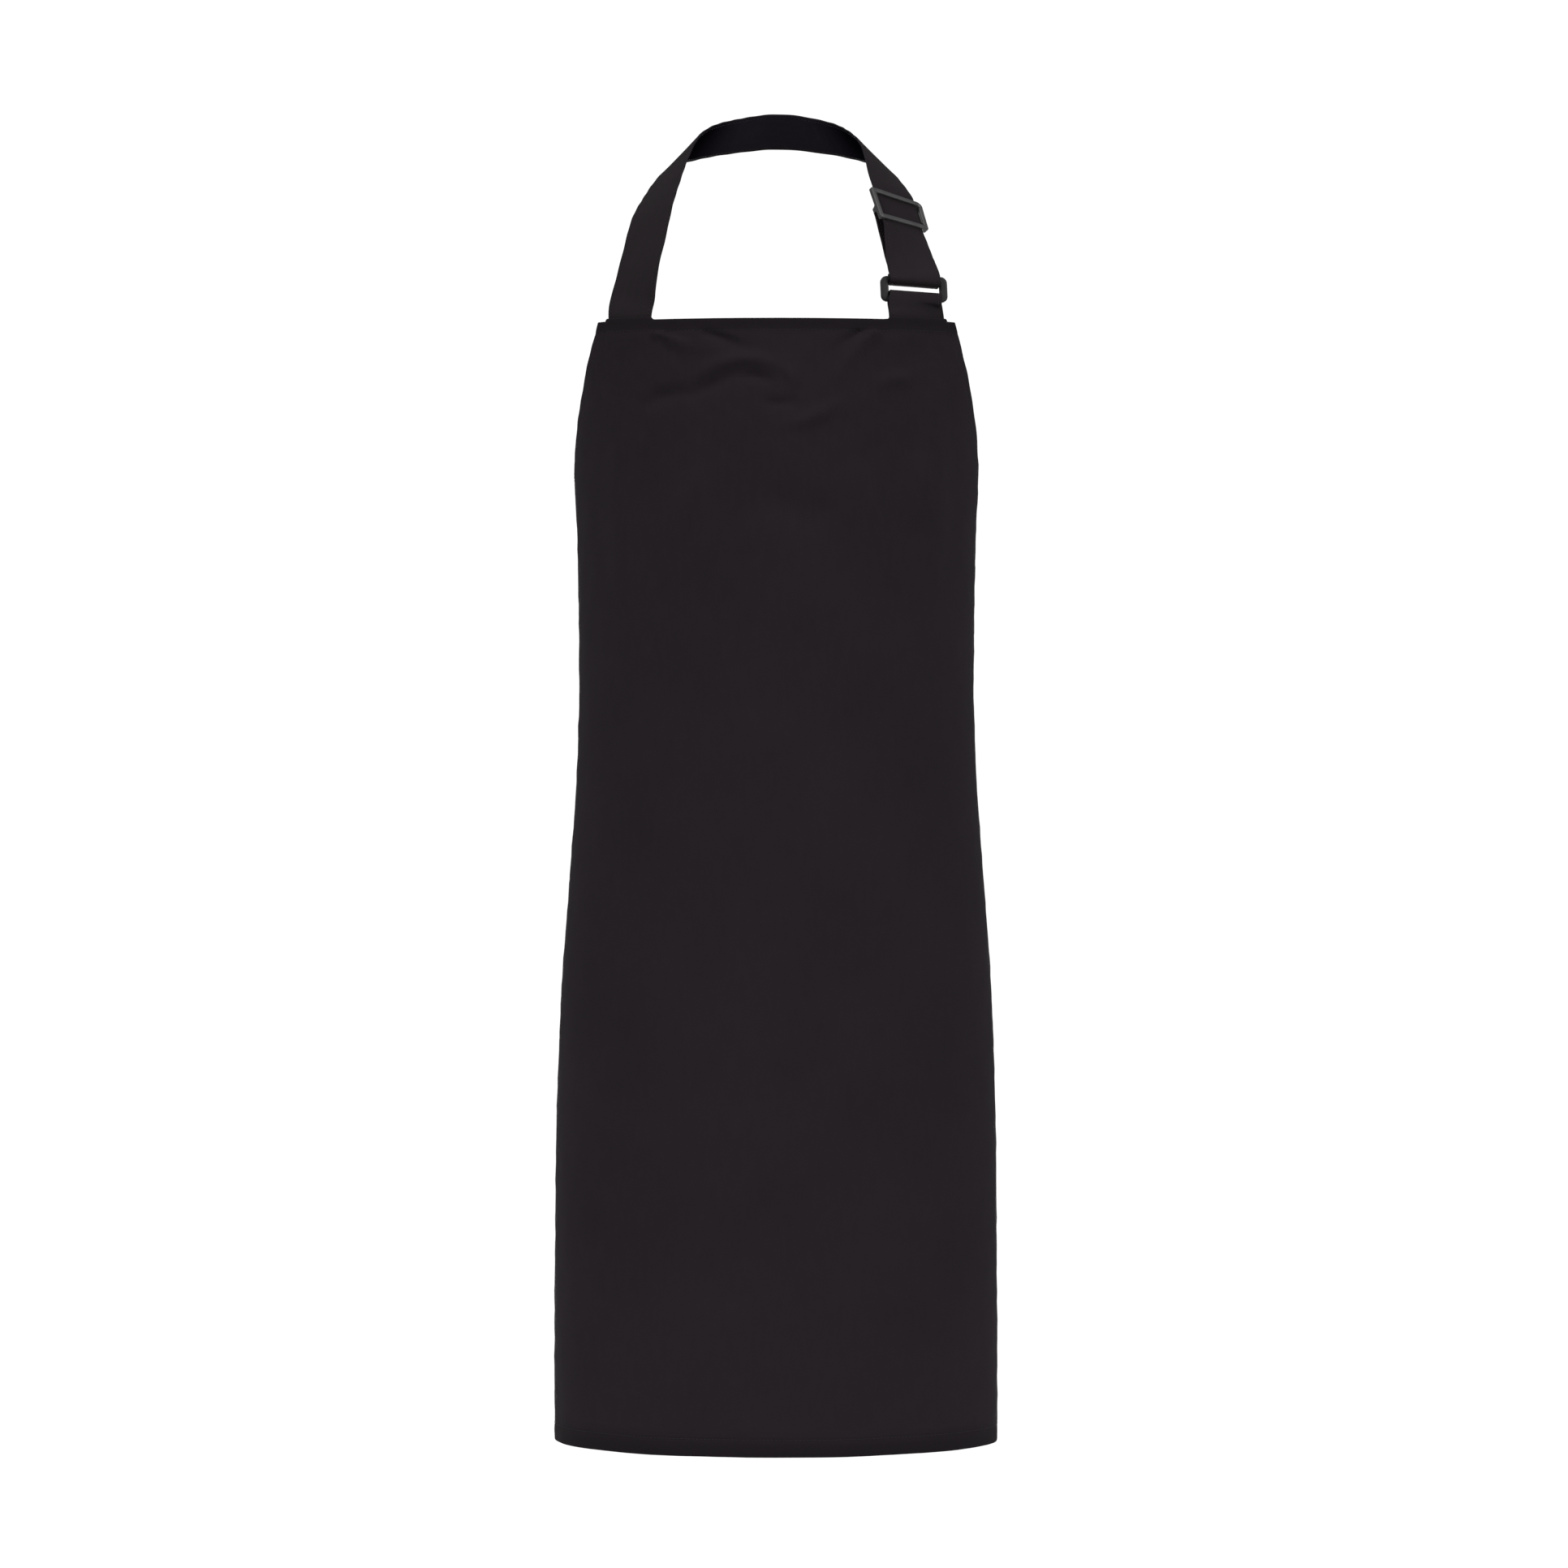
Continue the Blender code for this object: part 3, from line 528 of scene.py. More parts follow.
class Panel:
    """The cloth panel: the CAD model's outer face read as a grid, with folds and turned hems."""

    def __init__(self):
        rows = self.read_rows()
        depths = rows[0, 0, 2] - rows[:, 0, 2]
        self.length = float(depths[-1])
        spans = np.linalg.norm(np.diff(rows, axis=1), axis=2)
        self.depths = np.linspace(0.0, self.length, int(self.length / READ_STEP) + 1)
        self.shares = np.linspace(-1.0, 1.0, 4 * READ_COLUMNS)
        tall = cubic(self.depths, depths, rows)
        wide = cubic(self.shares, np.linspace(-1.0, 1.0, READ_COLUMNS), tall.transpose(1, 0, 2))
        self.points = wide.transpose(1, 0, 2)
        self.edges = np.interp(self.depths, depths, spans.sum(axis=1) / 2)
        sideways = np.gradient(self.points, axis=1)
        downwards = np.gradient(self.points, axis=0)
        self.normals = unit(np.cross(downwards, sideways))
        if self.normals[10, len(self.shares) // 2, 1] > 0:
            self.normals = -self.normals
        self.creases = []
        self.roots = []

    def read_rows(self):
        """The CAD panel's outer face, row by row from the top edge, each from left to right."""
        points, triangles = merged("front_panel")
        corners = points[triangles]
        sides = np.linalg.norm(corners - np.roll(corners, 1, axis=1), axis=2)
        normals = np.cross(corners[:, 1] - corners[:, 0], corners[:, 2] - corners[:, 0])
        doubled = np.linalg.norm(normals, axis=1)
        wide = doubled / sides.max(axis=1) > 0.0016
        faces = triangles[wide & (np.abs(normals[:, 2]) < 0.9 * doubled)]
        axis_y = CAD_BOX[0][1] + 0.055
        label = np.arange(len(points))
        while True:
            lowest = label[faces].min(axis=1)
            spread = label.copy()
            for corner in range(3):
                np.minimum.at(spread, faces[:, corner], lowest)
            if np.array_equal(spread, label):
                break
            label = spread
        islands = [points[np.unique(faces[label[faces[:, 0]] == name])] for name in np.unique(label[faces])]
        outer = max(islands, key=lambda island: np.hypot(island[:, 0], island[:, 1] - axis_y).mean())
        outer = outer[np.argsort(-outer[:, 2])]
        breaks = np.where(np.diff(outer[:, 2]) < -0.001)[0] + 1
        shares = np.linspace(0.0, 1.0, READ_COLUMNS)
        rows = []
        for row in np.split(outer, breaks):
            row = row[np.argsort(np.arctan2(row[:, 0], axis_y - row[:, 1]))]
            along = distances(row)
            rows.append(cubic(shares * along[-1], along, row))
        return np.array(rows)

    def edge(self, down):
        """Cloth length from the centre line to the side edge."""
        return np.interp(down, self.depths, self.edges)

    def read(self, grid, across, down):
        share = np.clip(across / self.edge(down), -1.0, 1.0)
        column = (share + 1) / 2 * (len(self.shares) - 1)
        row = np.clip(down / self.length, 0.0, 1.0) * (len(self.depths) - 1)
        left = np.clip(column.astype(int), 0, len(self.shares) - 2)
        top = np.clip(row.astype(int), 0, len(self.depths) - 2)
        right_part = (column - left)[..., None]
        low_part = (row - top)[..., None]
        upper = grid[top, left] * (1 - right_part) + grid[top, left + 1] * right_part
        lower = grid[top + 1, left] * (1 - right_part) + grid[top + 1, left + 1] * right_part
        return upper * (1 - low_part) + lower * low_part

    def find(self, point):
        """Cloth length from the centre line and depth of the place nearest to a point."""
        row, column = np.unravel_index(
            np.argmin(np.linalg.norm(self.points - np.array(point), axis=2)), self.points.shape[:2])
        return float(self.shares[column] * self.edges[row]), float(self.depths[row])

    def over_root(self, across, down):
        """From 0 to 1, how much a place lies over a strap sewn behind the top edge."""
        share = np.zeros(np.shape(across))
        for centre, half in self.roots:
            share = np.maximum(share, 1 - ease(np.abs(across - centre), half, half + ROOT_STEP))
        return share * (1 - ease(down, 0.012, 0.026))

    def seam_distance(self, across, down):
        """Distance from the nearest hem's seam, and how far into a hem a place is, from 0 to 1."""
        gaps = [
            (down, TOP_HEM - HEM_SEAM),
            (self.edge(down) - np.abs(across), SIDE_HEM - HEM_SEAM),
            (self.length - down, BOTTOM_HEM - HEM_SEAM),
        ]
        away = np.min([np.abs(gap - seam) for gap, seam in gaps], axis=0)
        inside = np.max([1 - np.clip(gap / seam, 0.0, 1.0) for gap, seam in gaps], axis=0)
        return away, inside

    def rise(self, across, down):
        """How far folds and seams push the cloth outwards."""
        total = sum(crease.rise(across, down) for crease in self.creases)
        skirt = ease(down, 0.25, 0.70)      # long waves, fullest at the hem
        total = total + skirt * (0.0009 * np.sin(across * 47.0 + 0.6 + 0.8 * np.sin(down * 5.0))
                                 + 0.0006 * np.sin(across * 83.0 - 1.1 - down * 2.2))
        # Faint unevenness all over, then the sunk seams and the puckers that they pull in the hems.
        total = total + 0.00022 * (
            np.sin(across * 171.0 + down * 93.0) * np.sin(down * 131.0 - across * 57.0 + 0.7)
            + np.sin(across * 263.0 - down * 117.0 + 1.9) * np.sin(down * 207.0 + 0.4))
        away, inside = self.seam_distance(across, down)
        total = total - SEAM_SINK * np.exp(-((away / 0.0011) ** 2))
        pucker = (np.sin(across * 390.0 + 1.3 * np.sin(across * 61.0))
                  + np.sin(down * 370.0 + 1.1 * np.sin(down * 53.0)))
        total = total + 0.00010 * inside * pucker
        return total + 0.0008 * self.over_root(across, down)

    def place(self, across, down, inset=0.0):
        """Points on the cloth and the directions out of it. inset is the distance inwards."""
        across, down = np.broadcast_arrays(np.asarray(across, float), np.asarray(down, float))
        out = unit(self.read(self.normals, across, down))
        points = self.read(self.points, across, down)
        points = points + out * (self.rise(across, down) - inset)[..., None]
        lift = ROOT_LIFT * self.over_root(across, down) * (1 - ease(down, 0.0, 0.016))
        points[..., 2] += lift
        return points, out

    def grid_lines(self):
        """Rows as depths, columns near a side as distances from it, and the rest as shares of the middle."""
        near = np.array((HEM_ROLL + CLOTH / 2,) + EDGE_ROWS)
        low = self.length - near - np.where(near > near[0], BOTTOM_HEM - SIDE_HEM, 0.0)
        middle = stepped(near[-1], low[-1], BIB_DEPTH, FINE_STEP, GRID_STEP)[1:-1]
        rows = np.concatenate([near, middle, low[::-1]])
        reach = float(self.edges[0]) - near[-1]
        inner = np.linspace(-1.0, 1.0, int(2 * reach / FINE_STEP) + 1)
        steps = np.array([0.0, 0.3, 0.6, 1.0]) * ROOT_STEP
        marks = np.concatenate([centre + side * (half_width + steps)
                                for centre, half_width in self.roots for side in (-1, 1)]) / reach
        marks = marks[np.abs(marks) < 0.995]
        clear = np.abs(inner[:, None] - marks).min(axis=1) > 0.4 * FINE_STEP / reach
        clear[[0, -1]] = True
        return rows, near, np.sort(np.concatenate([inner[clear], marks]))

    def sheet_lines(self):
        """Cloth length from the centre line and depth of each grid point."""
        rows, near, inner = self.grid_lines()
        across = []
        for down in rows:
            edge = self.edge(down)
            side = edge - near
            across.append(np.concatenate([-side, inner[1:-1] * side[-1], side[::-1]]))
        across = np.array(across)
        return across, np.repeat(rows[:, None], across.shape[1], axis=1)

    def hem_rings(self):
        """Rings round the sheet's edge: distances in from the top, side and bottom edges, and the inset."""
        first = HEM_ROLL + CLOTH / 2
        rings = []
        for turn in np.linspace(0.0, math.pi, 7)[1:]:
            away = first - HEM_ROLL * math.sin(turn)
            rings.append((away, away, away, CLOTH / 2 + HEM_ROLL * (1 - math.cos(turn))))
        widths = np.array([TOP_HEM, SIDE_HEM, BOTTOM_HEM])
        deep = CLOTH / 2 + 2 * HEM_ROLL
        for part in (0.15, 0.35, 0.60, 0.80, 0.90, 0.97):
            rings.append((*(first + part * (widths - first)), deep))
        for turn in np.linspace(0.0, math.pi, 5)[1:-1]:
            out = HEM_ROLL / 2 * math.sin(turn)
            rings.append((*(widths + out), deep - HEM_ROLL / 2 * (1 - math.cos(turn))))
        for part in (0.97, 0.85, 0.55, 0.20):
            rings.append((*(first + part * (widths - first)), CLOTH / 2 + HEM_ROLL))
        return rings

    def make(self):
        across, down = self.sheet_lines()
        rows, columns = across.shape
        points, _ = self.place(across, down, CLOTH / 2)
        # Painted shade along the top and bottom edges.
        painted_shade = self.painted_hem_shade(across, down)
        bm = bmesh.new()
        verts = [[bm.verts.new(point) for point in row] for row in points]
        places = [(a, -d, k) for a, d, k in zip(across.ravel(), down.ravel(), painted_shade.ravel())]
        for row in range(rows - 1):
            for column in range(columns - 1):
                bm.faces.new((verts[row][column], verts[row + 1][column],
                              verts[row + 1][column + 1], verts[row][column + 1]))
        rim = [(0, column) for column in range(columns)]
        rim += [(row, columns - 1) for row in range(1, rows)]
        rim += [(rows - 1, column) for column in range(columns - 2, -1, -1)]
        rim += [(row, 0) for row in range(rows - 2, 0, -1)]
        rim_across, rim_down = (np.array([values[place] for place in rim]) for values in (across, down))
        first = down[0, 0]
        rings = [[verts[row][column] for row, column in rim]]
        for top, side, bottom, inset in self.hem_rings():
            stretch = (self.length - top - bottom) / (self.length - 2 * first)
            ring_down = top + (rim_down - first) * stretch
            shrink = (self.edge(ring_down) - side) / (self.edge(rim_down) - first)
            ring_across = rim_across * shrink
            points, _ = self.place(ring_across, ring_down, inset)
            rings.append([bm.verts.new(point) for point in points])
            places += list(zip(ring_across, -ring_down, self.painted_hem_shade(ring_across, ring_down)))
        loft(bm, rings, capped=False)
        bm.normal_update()
        item = add_piece("panel_cloth_sheet", bm, PANEL_CLOTH, None, solid=False)
        set_cloth_place(item, places)
        thick = item.modifiers.new("thickness", "SOLIDIFY")
        thick.thickness = CLOTH
        thick.offset = 0.0
        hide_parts("front_panel", "bib_top_hem", "bottom_hem", "armhole_hem_left",
                    "armhole_hem_right", "side_hem_left", "side_hem_right")
        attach(item, "root")
        return item

    def painted_hem_shade(self, across, down):
        """Painted shade along the bib's top edge and along the lower hem, fading inwards from each."""
        top = 0.70 * (1 - ease(down, 0.004, 0.0125))
        low = 0.85 * (1 - ease(self.length - down, 0.002, 0.022))
        return np.maximum(top, low)


# ---- flat straps

class Route:
    """A flat strap's middle line, with the way out of its outer face and the way across at each point."""

    def __init__(self, middle, out, half):
        self.middle, self.half = np.asarray(middle, float), np.asarray(half, float)
        self.along = distances(self.middle)
        ahead = unit(np.gradient(self.middle, self.along, axis=0))
        out = np.asarray(out, float)
        self.out = unit(out - (out * ahead).sum(axis=1)[:, None] * ahead)
        self.side = unit(np.cross(self.out, ahead))
        self.length = float(self.along[-1])

    @classmethod
    def from_node(cls, node, out_hint, start_near):
        """Read from a CAD strap, which has four corners at each station."""
        points, triangles = merged(node)
        links = [set() for _ in points]
        for triangle in triangles:
            for corner in triangle:
                links[corner].update(int(other) for other in triangle)
        start = np.array(start_near)
        layers = min(cls.layered(points, triangles, links),
                     key=lambda layers: np.linalg.norm(points[layers[0]].mean(axis=0) - start))
        middles, outs, halves = [], [], []
        last_out = np.array(out_hint, float)
        for layer in layers:
            corners = points[layer]
            gaps = np.linalg.norm(corners - corners[0], axis=1)
            near = int(np.argsort(gaps)[1])
            first = corners[[0, near]]
            second = corners[[index for index in range(1, 4) if index != near]]
            if (first[1] - first[0]) @ (second[1] - second[0]) < 0:
                second = second[::-1]
            out = unit((first[1] - first[0]) + (second[1] - second[0]))
            if out @ last_out < 0:
                out = -out
            middles.append(corners.mean(axis=0))
            outs.append(out)
            halves.append(np.linalg.norm(first.mean(axis=0) - second.mean(axis=0)) / 2)
            last_out = out
        return cls(middles, outs, halves)

    @staticmethod
    def layered(points, triangles, links):
        """Every way of walking the strap from an end, as lists of four corners at each station."""
        found = []
        for triangle in triangles:
            shared = set.intersection(*[links[corner] for corner in triangle]) - set(triangle.tolist())
            edges = [(triangle[0], triangle[1]), (triangle[1], triangle[2]), (triangle[2], triangle[0])]
            others = set()
            for first, second in edges:
                others |= (links[first] & links[second]) - set(triangle.tolist())
            for other in (others | shared):
                layer = sorted(set(triangle.tolist()) | {other})
                layers, seen = [layer], set(layer)
                while True:
                    following = set().union(*[links[corner] for corner in layers[-1]]) - seen
                    if len(following) != 4:
                        break
                    layers.append(sorted(following))
                    seen |= following
                if not following and len(seen) == len(points):
                    found.append(layers)
        return found

    def joined(self, other, gap=0.0):
        """This route with another one carried on from its end."""
        keep = other.along > gap
        return Route(np.concatenate([self.middle, other.middle[keep]]),
                     np.concatenate([self.out, other.out[keep]]),
                     np.concatenate([self.half, other.half[keep]]))

    def fine(self, step=ROUTE_STEP):
        """The same route with evenly spaced stations on smooth curves."""
        count = max(8, int(round(self.length / step)))
        read = np.linspace(0.0, self.length, count + 1)
        return Route(cubic(read, self.along, self.middle), cubic(read, self.along, self.out),
                     cubic(read, self.along, self.half))

    def bridged(self, start, end):
        """The same route pulled taut, with one even twist, between two distances along it."""
        low, high = (int(np.argmin(np.abs(self.along - place))) for place in (start, end))
        span = self.along[high] - self.along[low]
        part = ((self.along[low:high + 1] - self.along[low]) / span)[:, None]
        middle, out = self.middle.copy(), self.out.copy()
        middle[low:high + 1] = middle[low] * (1 - part) + middle[high] * part
        out[low:high + 1] = unit(out[low] * (1 - part) + out[high] * part)
        return Route(middle, out, self.half)

    def raised(self, centre, reach, height):
        """The same route standing further out over a stretch."""
        share = 1 - ease(np.abs(self.along - centre), 0.5 * reach, reach)
        return Route(self.middle + self.out * (height * share)[:, None], self.out, self.half)

    def moved(self, centre, reach, move):
        """The same route moved bodily over a stretch."""
        share = 1 - ease(np.abs(self.along - centre), 0.5 * reach, reach)
        return Route(self.middle + np.array(move) * share[:, None], self.out, self.half)

    def relaxed(self, start, end, passes):
        """The same route with its bends and twist evened out between two distances along it."""
        middle, out = self.middle.copy(), self.out.copy()
        share = (ease(self.along, start, start + 0.02) * (1 - ease(self.along, end - 0.02, end)))[1:-1, None]
        for _ in range(passes):
            for values in (middle, out):
                values[1:-1] += share * 0.5 * ((values[2:] + values[:-2]) / 2 - values[1:-1])
        return Route(middle, out, self.half)


def strap_profile(half, thickness):
    """Closed section of a folded and edge-stitched strap: across, out, and how deep the stitch pinches."""
    edge = thickness / 2
    inward = (0.0004, 0.0010, 0.0016, 0.0021, 0.0025, EDGE_STITCH, 0.0031, 0.0036, 0.0045, 0.0060)
    side = [half - edge - step for step in inward]
    middle = [side[-1] * share for share in (0.66, 0.33, 0.0)]
    right = sorted(side + middle)
    face = [-across for across in right[:0:-1]] + right
    corner = [edge * np.array((math.sin(turn), math.cos(turn)))
              for turn in np.linspace(0.0, math.pi, 7)[1:-1]]
    pairs = [(across, 1.0) for across in face]
    pairs += [(half - edge + point[0], point[1] / edge) for point in corner]
    pairs += [(across, -1.0) for across in face[::-1]]
    pairs += [(-(half - edge) - point[0], -point[1] / edge) for point in corner]
    profile = []
    for across, share in pairs:
        inset = half - edge - abs(across)
        pinch = math.exp(-(((inset - EDGE_STITCH + edge) / 0.0007) ** 2))
        crown = 0.06 * (1 - (across / half) ** 2)
        height = share * thickness / 2 * (1 + crown - 0.30 * pinch) if abs(share) == 1.0 else share * edge
        profile.append((across, height))
    return np.array(profile)


class Strap:
    """A flat strap of folded and edge-stitched cloth along a route."""

    def __init__(self, route, thickness, gathers=(), curl=0.0, half=None):
        self.route, self.thickness, self.gathers, self.curl = route, thickness, gathers, curl
        self.half = float(route.half.max()) if half is None else half
        self.profile = strap_profile(self.half, thickness)
        self.shift = None

    def gathered(self, along):
        """How narrow the strap is drawn there, and how high its gathers stand, in metres."""
        width, height = np.ones_like(along), np.zeros_like(along)
        for centre, reach, share, fold in self.gathers:
            near = 1 - ease(np.abs(along - centre), 0.0, reach)
            width = np.minimum(width, 1 - (1 - share) * near)
            height = np.maximum(height, fold * near)
        return width, height

    def surface(self, along, across, height):
        """Points on the strap. along, across and height are arrays of one shape."""
        route = self.route
        shape = np.shape(along)
        flat = np.ravel(along)
        middle = cubic(flat, route.along, route.middle)
        out = unit(cubic(flat, route.along, route.out))
        side = unit(cubic(flat, route.along, route.side))
        across, height = np.ravel(across), np.ravel(height)
        width, fold = self.gathered(flat)
        half = self.half
        wave = 0.00016 * np.sin(flat * 310.0 + 2.0 * np.sin(flat * 47.0)) * (across / half) ** 2
        wave = wave + 0.00022 * np.sin(flat * 61.0 + 0.8 * across / half)
        bend = self.curl * ((across / half) ** 2 - 0.33)
        pleats = fold * np.sin(across / half * 8.2 + 0.9 * np.sin(flat * 90.0))
        lift = height + wave + bend + pleats
        points = middle + side * (across * width)[:, None] + out * lift[:, None]
        if self.shift is not None:
            points = self.shift(flat, across, height, points)
        return points.reshape(shape + (3,))

    def make(self, name, material, body="root", shade=None, round_ends=(False, False), inner=None):
        """A mesh of the strap. inner is the material of its inner face, if that is another one."""
        rings, scales = list(self.route.along), [1.0] * len(self.route.along)
        tip = self.thickness / 2
        for turn in (0.35, 0.70, 0.95):
            place = tip * (1 - math.sin(turn * math.pi / 2))
            scale = math.cos(turn * math.pi / 2) * 0.92 + 0.08
            if round_ends[0]:
                rings.insert(0, place - tip)
                scales.insert(0, scale)
            if round_ends[1]:
                rings.append(self.route.length + tip - place)
                scales.append(scale)
        along = np.array(rings)[:, None] + np.zeros(len(self.profile))
        across = self.profile[:, 0] + np.zeros((len(rings), 1))
        height = self.profile[:, 1] * np.array(scales)[:, None]
        bm = bmesh.new()
        verts = [[bm.verts.new(point) for point in row] for row in self.surface(along, across, height)]
        loft(bm, verts, capped=False)
        count = len(self.profile)
        face = count // 2 - 5
        for ring, turned in ((verts[0], True), (verts[-1], False)):
            upper, lower = ring[:face], ring[face + 5:2 * face + 5][::-1]
            quads = [(upper[k], upper[k + 1], lower[k + 1], lower[k]) for k in range(face - 1)]
            quads.append((upper[-1], *ring[face:face + 5], lower[-1]))
            quads.append((lower[0], *ring[2 * face + 5:], upper[0]))
            for quad in quads:
                bm.faces.new(quad if not turned else quad[::-1])
        if inner:
            bm.faces.ensure_lookup_table()
            low_face = count // 2 + 5
            for number in range((len(verts) - 1) * count):
                place = number % count
                bm.faces[number].material_index = int(low_face <= place + 1 and place < count - 5)
        item = add_piece(name, bm, material, body)
        if inner:
            item.data.materials.append(inner)
        # shade gives each point's share of painted shade.
        painted_shade = np.zeros(along.shape) if shade is None else shade(along, height)
        set_cloth_place(item, np.stack([across, along, painted_shade], axis=-1).reshape(-1, 3))
        return item

    def face_line(self, along, across, height, outer):
        """A line on the strap's outer or inner face, with the way out at each point."""
        sign = 1.0 if outer else -1.0
        line, raised = (self.surface(along, across, np.full(len(along), sign * level))
                        for level in (height, height + 0.001))
        return line, unit(raised - line)

    def edge_lines(self, start=0.004, end=None, faces=(True, False)):
        """Lines of edge stitches, in the grooves that they pinch."""
        end = self.route.length - 0.004 if end is None else end
        along = np.arange(start, end, 0.0015)
        half = self.half - EDGE_STITCH
        return [self.face_line(along, np.full(len(along), side * half), 0.72 * self.thickness / 2, outer)
                for side in (-1, 1) for outer in faces]

    def cross_line(self, along, margin=EDGE_STITCH, outer=True):
        """A line of stitches across the strap."""
        half = self.half - margin
        return self.face_line(np.full(24, along), np.linspace(-half, half, 24), self.thickness / 2, outer)


# ---- panel

panel = Panel()
BIB_CREASES = [
    # start, middle and end as (across, down) on the cloth, width, height, and whether it fans out
    ((-0.066, 0.047), (-0.024, 0.018), (0.008, 0.040), 0.0046, 0.0040, False),
    ((-0.074, 0.060), (-0.044, 0.050), (-0.026, 0.040), 0.0050, -0.0026, False),
    ((0.004, 0.037), (0.015, 0.042), (0.013, 0.054), 0.0034, 0.0030, False),
    ((-0.030, 0.046), (-0.014, 0.040), (-0.002, 0.050), 0.0038, -0.0032, False),
    ((0.002, 0.082), (0.028, 0.078), (0.050, 0.061), 0.0050, 0.0032, False),
    ((-0.010, 0.062), (0.004, 0.068), (0.016, 0.060), 0.0038, -0.0028, False),
    ((0.074, 0.011), (0.052, 0.032), (0.030, 0.066), 0.0044, 0.0038, True),
    ((0.062, 0.010), (0.046, 0.022), (0.030, 0.034), 0.0036, -0.0028, True),
    ((-0.090, 0.011), (-0.066, 0.024), (-0.040, 0.024), 0.0040, 0.0038, True),
    ((-0.086, 0.012), (-0.078, 0.028), (-0.066, 0.038), 0.0040, -0.0032, True),
    ((-0.060, 0.010), (-0.040, 0.013), (-0.016, 0.027), 0.0034, -0.0028, False),
    ((-0.104, 0.068), (-0.090, 0.052), (-0.066, 0.058), 0.0058, -0.0034, False),
    ((0.076, 0.052), (0.092, 0.040), (0.108, 0.046), 0.0052, 0.0024, False),
    ((-0.122, 0.030), (-0.130, 0.130), (-0.124, 0.250), 0.0140, 0.0038, False),
    ((0.124, 0.030), (0.132, 0.120), (0.124, 0.250), 0.0140, 0.0038, False),
    ((0.108, 0.098), (0.122, 0.122), (0.110, 0.156), 0.0090, 0.0034, False),
    ((0.060, 0.108), (0.082, 0.150), (0.092, 0.205), 0.0110, 0.0030, False),
    ((-0.058, 0.112), (-0.084, 0.150), (-0.096, 0.210), 0.0110, 0.0030, False),
    ((-0.020, 0.128), (0.012, 0.150), (0.052, 0.146), 0.0120, -0.0026, False),
]
TIE_PULLS = [
    ((0.326, 0.285), (0.270, 0.272), (0.170, 0.250), 0.0075, 0.0022, True),
    ((0.326, 0.290), (0.262, 0.300), (0.150, 0.318), 0.0085, 0.0021, True),
    ((0.322, 0.300), (0.280, 0.335), (0.222, 0.420), 0.0095, 0.0021, True),
    ((0.324, 0.280), (0.290, 0.250), (0.240, 0.205), 0.0070, 0.0017, True),
    ((0.318, 0.312), (0.300, 0.372), (0.282, 0.480), 0.0100, 0.0020, True),
]
panel.creases = [Crease(*facts) for facts in BIB_CREASES] + mirrored(TIE_PULLS)

neck = Route.from_node("neck_strap", (0, -1, 0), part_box("strap_root_bartack")[0])
tab = Route.from_node("ring_tab", (0, -1, 0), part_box("tab_root_bartack")[0])
ROOT_INSET = 2 * HEM_ROLL + CLOTH + STRAP_THICKNESS / 2 + 0.0001


class RootedStrap(Strap):
    """A strap whose end lies flat behind the panel's top edge, where it is sewn."""

    def __init__(self, route, thickness, both_ends=False, under=0.0, spread=1.0, **settings):
        super().__init__(route, thickness, **settings)
        self.both_ends, self.under, self.spread = both_ends, under, spread
        self.centre, _ = panel.find(route.middle[0])
        self.root_length = BIB_TOP - route.middle[0][2]
        self.shift = self.to_panel

    def to_panel(self, along, across, height, points):
        points = self.pulled(along, across, height, points, 0.0)
        if self.both_ends:
            points = self.pulled(self.route.length - along, across, -height, points, self.under)
        return points

    def pulled(self, along, across, height, points, under):
        share = 1 - ease(along, self.root_length - 0.001, self.root_length + 0.020)
        down = np.maximum(self.root_length - along, 0.0)
        beyond = np.maximum(along - self.root_length, 0.0)
        sign = np.sign(self.route.side[0][0])
        spot = self.centre + sign * across * self.spread
        sewn, out = panel.place(spot, down, ROOT_INSET + under)
        sewn = sewn + out * height[:, None]
        sewn[:, 2] += beyond - ROOT_LIFT * panel.over_root(spot, down) * 0.6
        return points + (sewn - points) * share[:, None]


BIB_TOP = float(panel.points[0, len(panel.shares) // 2, 2])
panel.roots = [
    (panel.find(neck.middle[0])[0], STRAP_HALF * ROOT_SPREAD),
    (panel.find(tab.middle[0])[0], TAB_HALF * TAB_SPREAD),
]
panel_sheet = panel.make()


def panel_seams():
    """Lines of stitches round the hems, on the outer face and on the folded layer behind it."""
    lines = []
    behind = 2 * HEM_ROLL + CLOTH
    for inset in (0.0, behind):
        turn = 1.0 if inset == 0.0 else -1.0
        limit_low = panel.length - BOTTOM_HEM + HEM_SEAM
        down = np.arange(TOP_HEM - HEM_SEAM, limit_low, 0.002)
        for side in (-1, 1):
            across = side * (panel.edge(down) - SIDE_HEM + HEM_SEAM)
            points, out = panel.place(across, down, inset)
            lines.append((points, out * turn))
        for level in (TOP_HEM - HEM_SEAM, limit_low):
            reach = float(panel.edge(level)) - SIDE_HEM + HEM_SEAM
            across = np.arange(-reach, reach, 0.002)
            points, out = panel.place(across, np.full(len(across), level), inset)
            lines.append((points, out * turn))
    return lines


add_stitches("panel_hem_stitching", panel_seams())

# ---- neck strap, its tail and the ring tab

joints = frame["record"]["behaviour"]["joints"]
slide_axis = unit(next(joint for joint in joints if joint["name"] == "slider_slide")["axis"])
slider_box = [np.array(corner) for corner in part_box("tri_glide_slider")]
slider_foot = (slider_box[0] + slider_box[1]) / 2 - slide_axis * SLIDER_FOOT


def painted_nape_shade(route):
    """Painted shade on the strap's inner face: none at the middle of the nape, darkest a little way either
    side of it, and lighter again further along.
    """
    nape = float(np.argmin(np.linalg.norm(route.middle, axis=1))) / (len(route.along) - 1) * route.length

    def shade(along, height):
        inner = ease(-height, -0.0003, 0.0006)
        away = np.abs(along - nape)
        return inner * ease(away, 0.02, 0.085) * (1 - 0.6 * ease(away, 0.12, 0.20))
    return shade


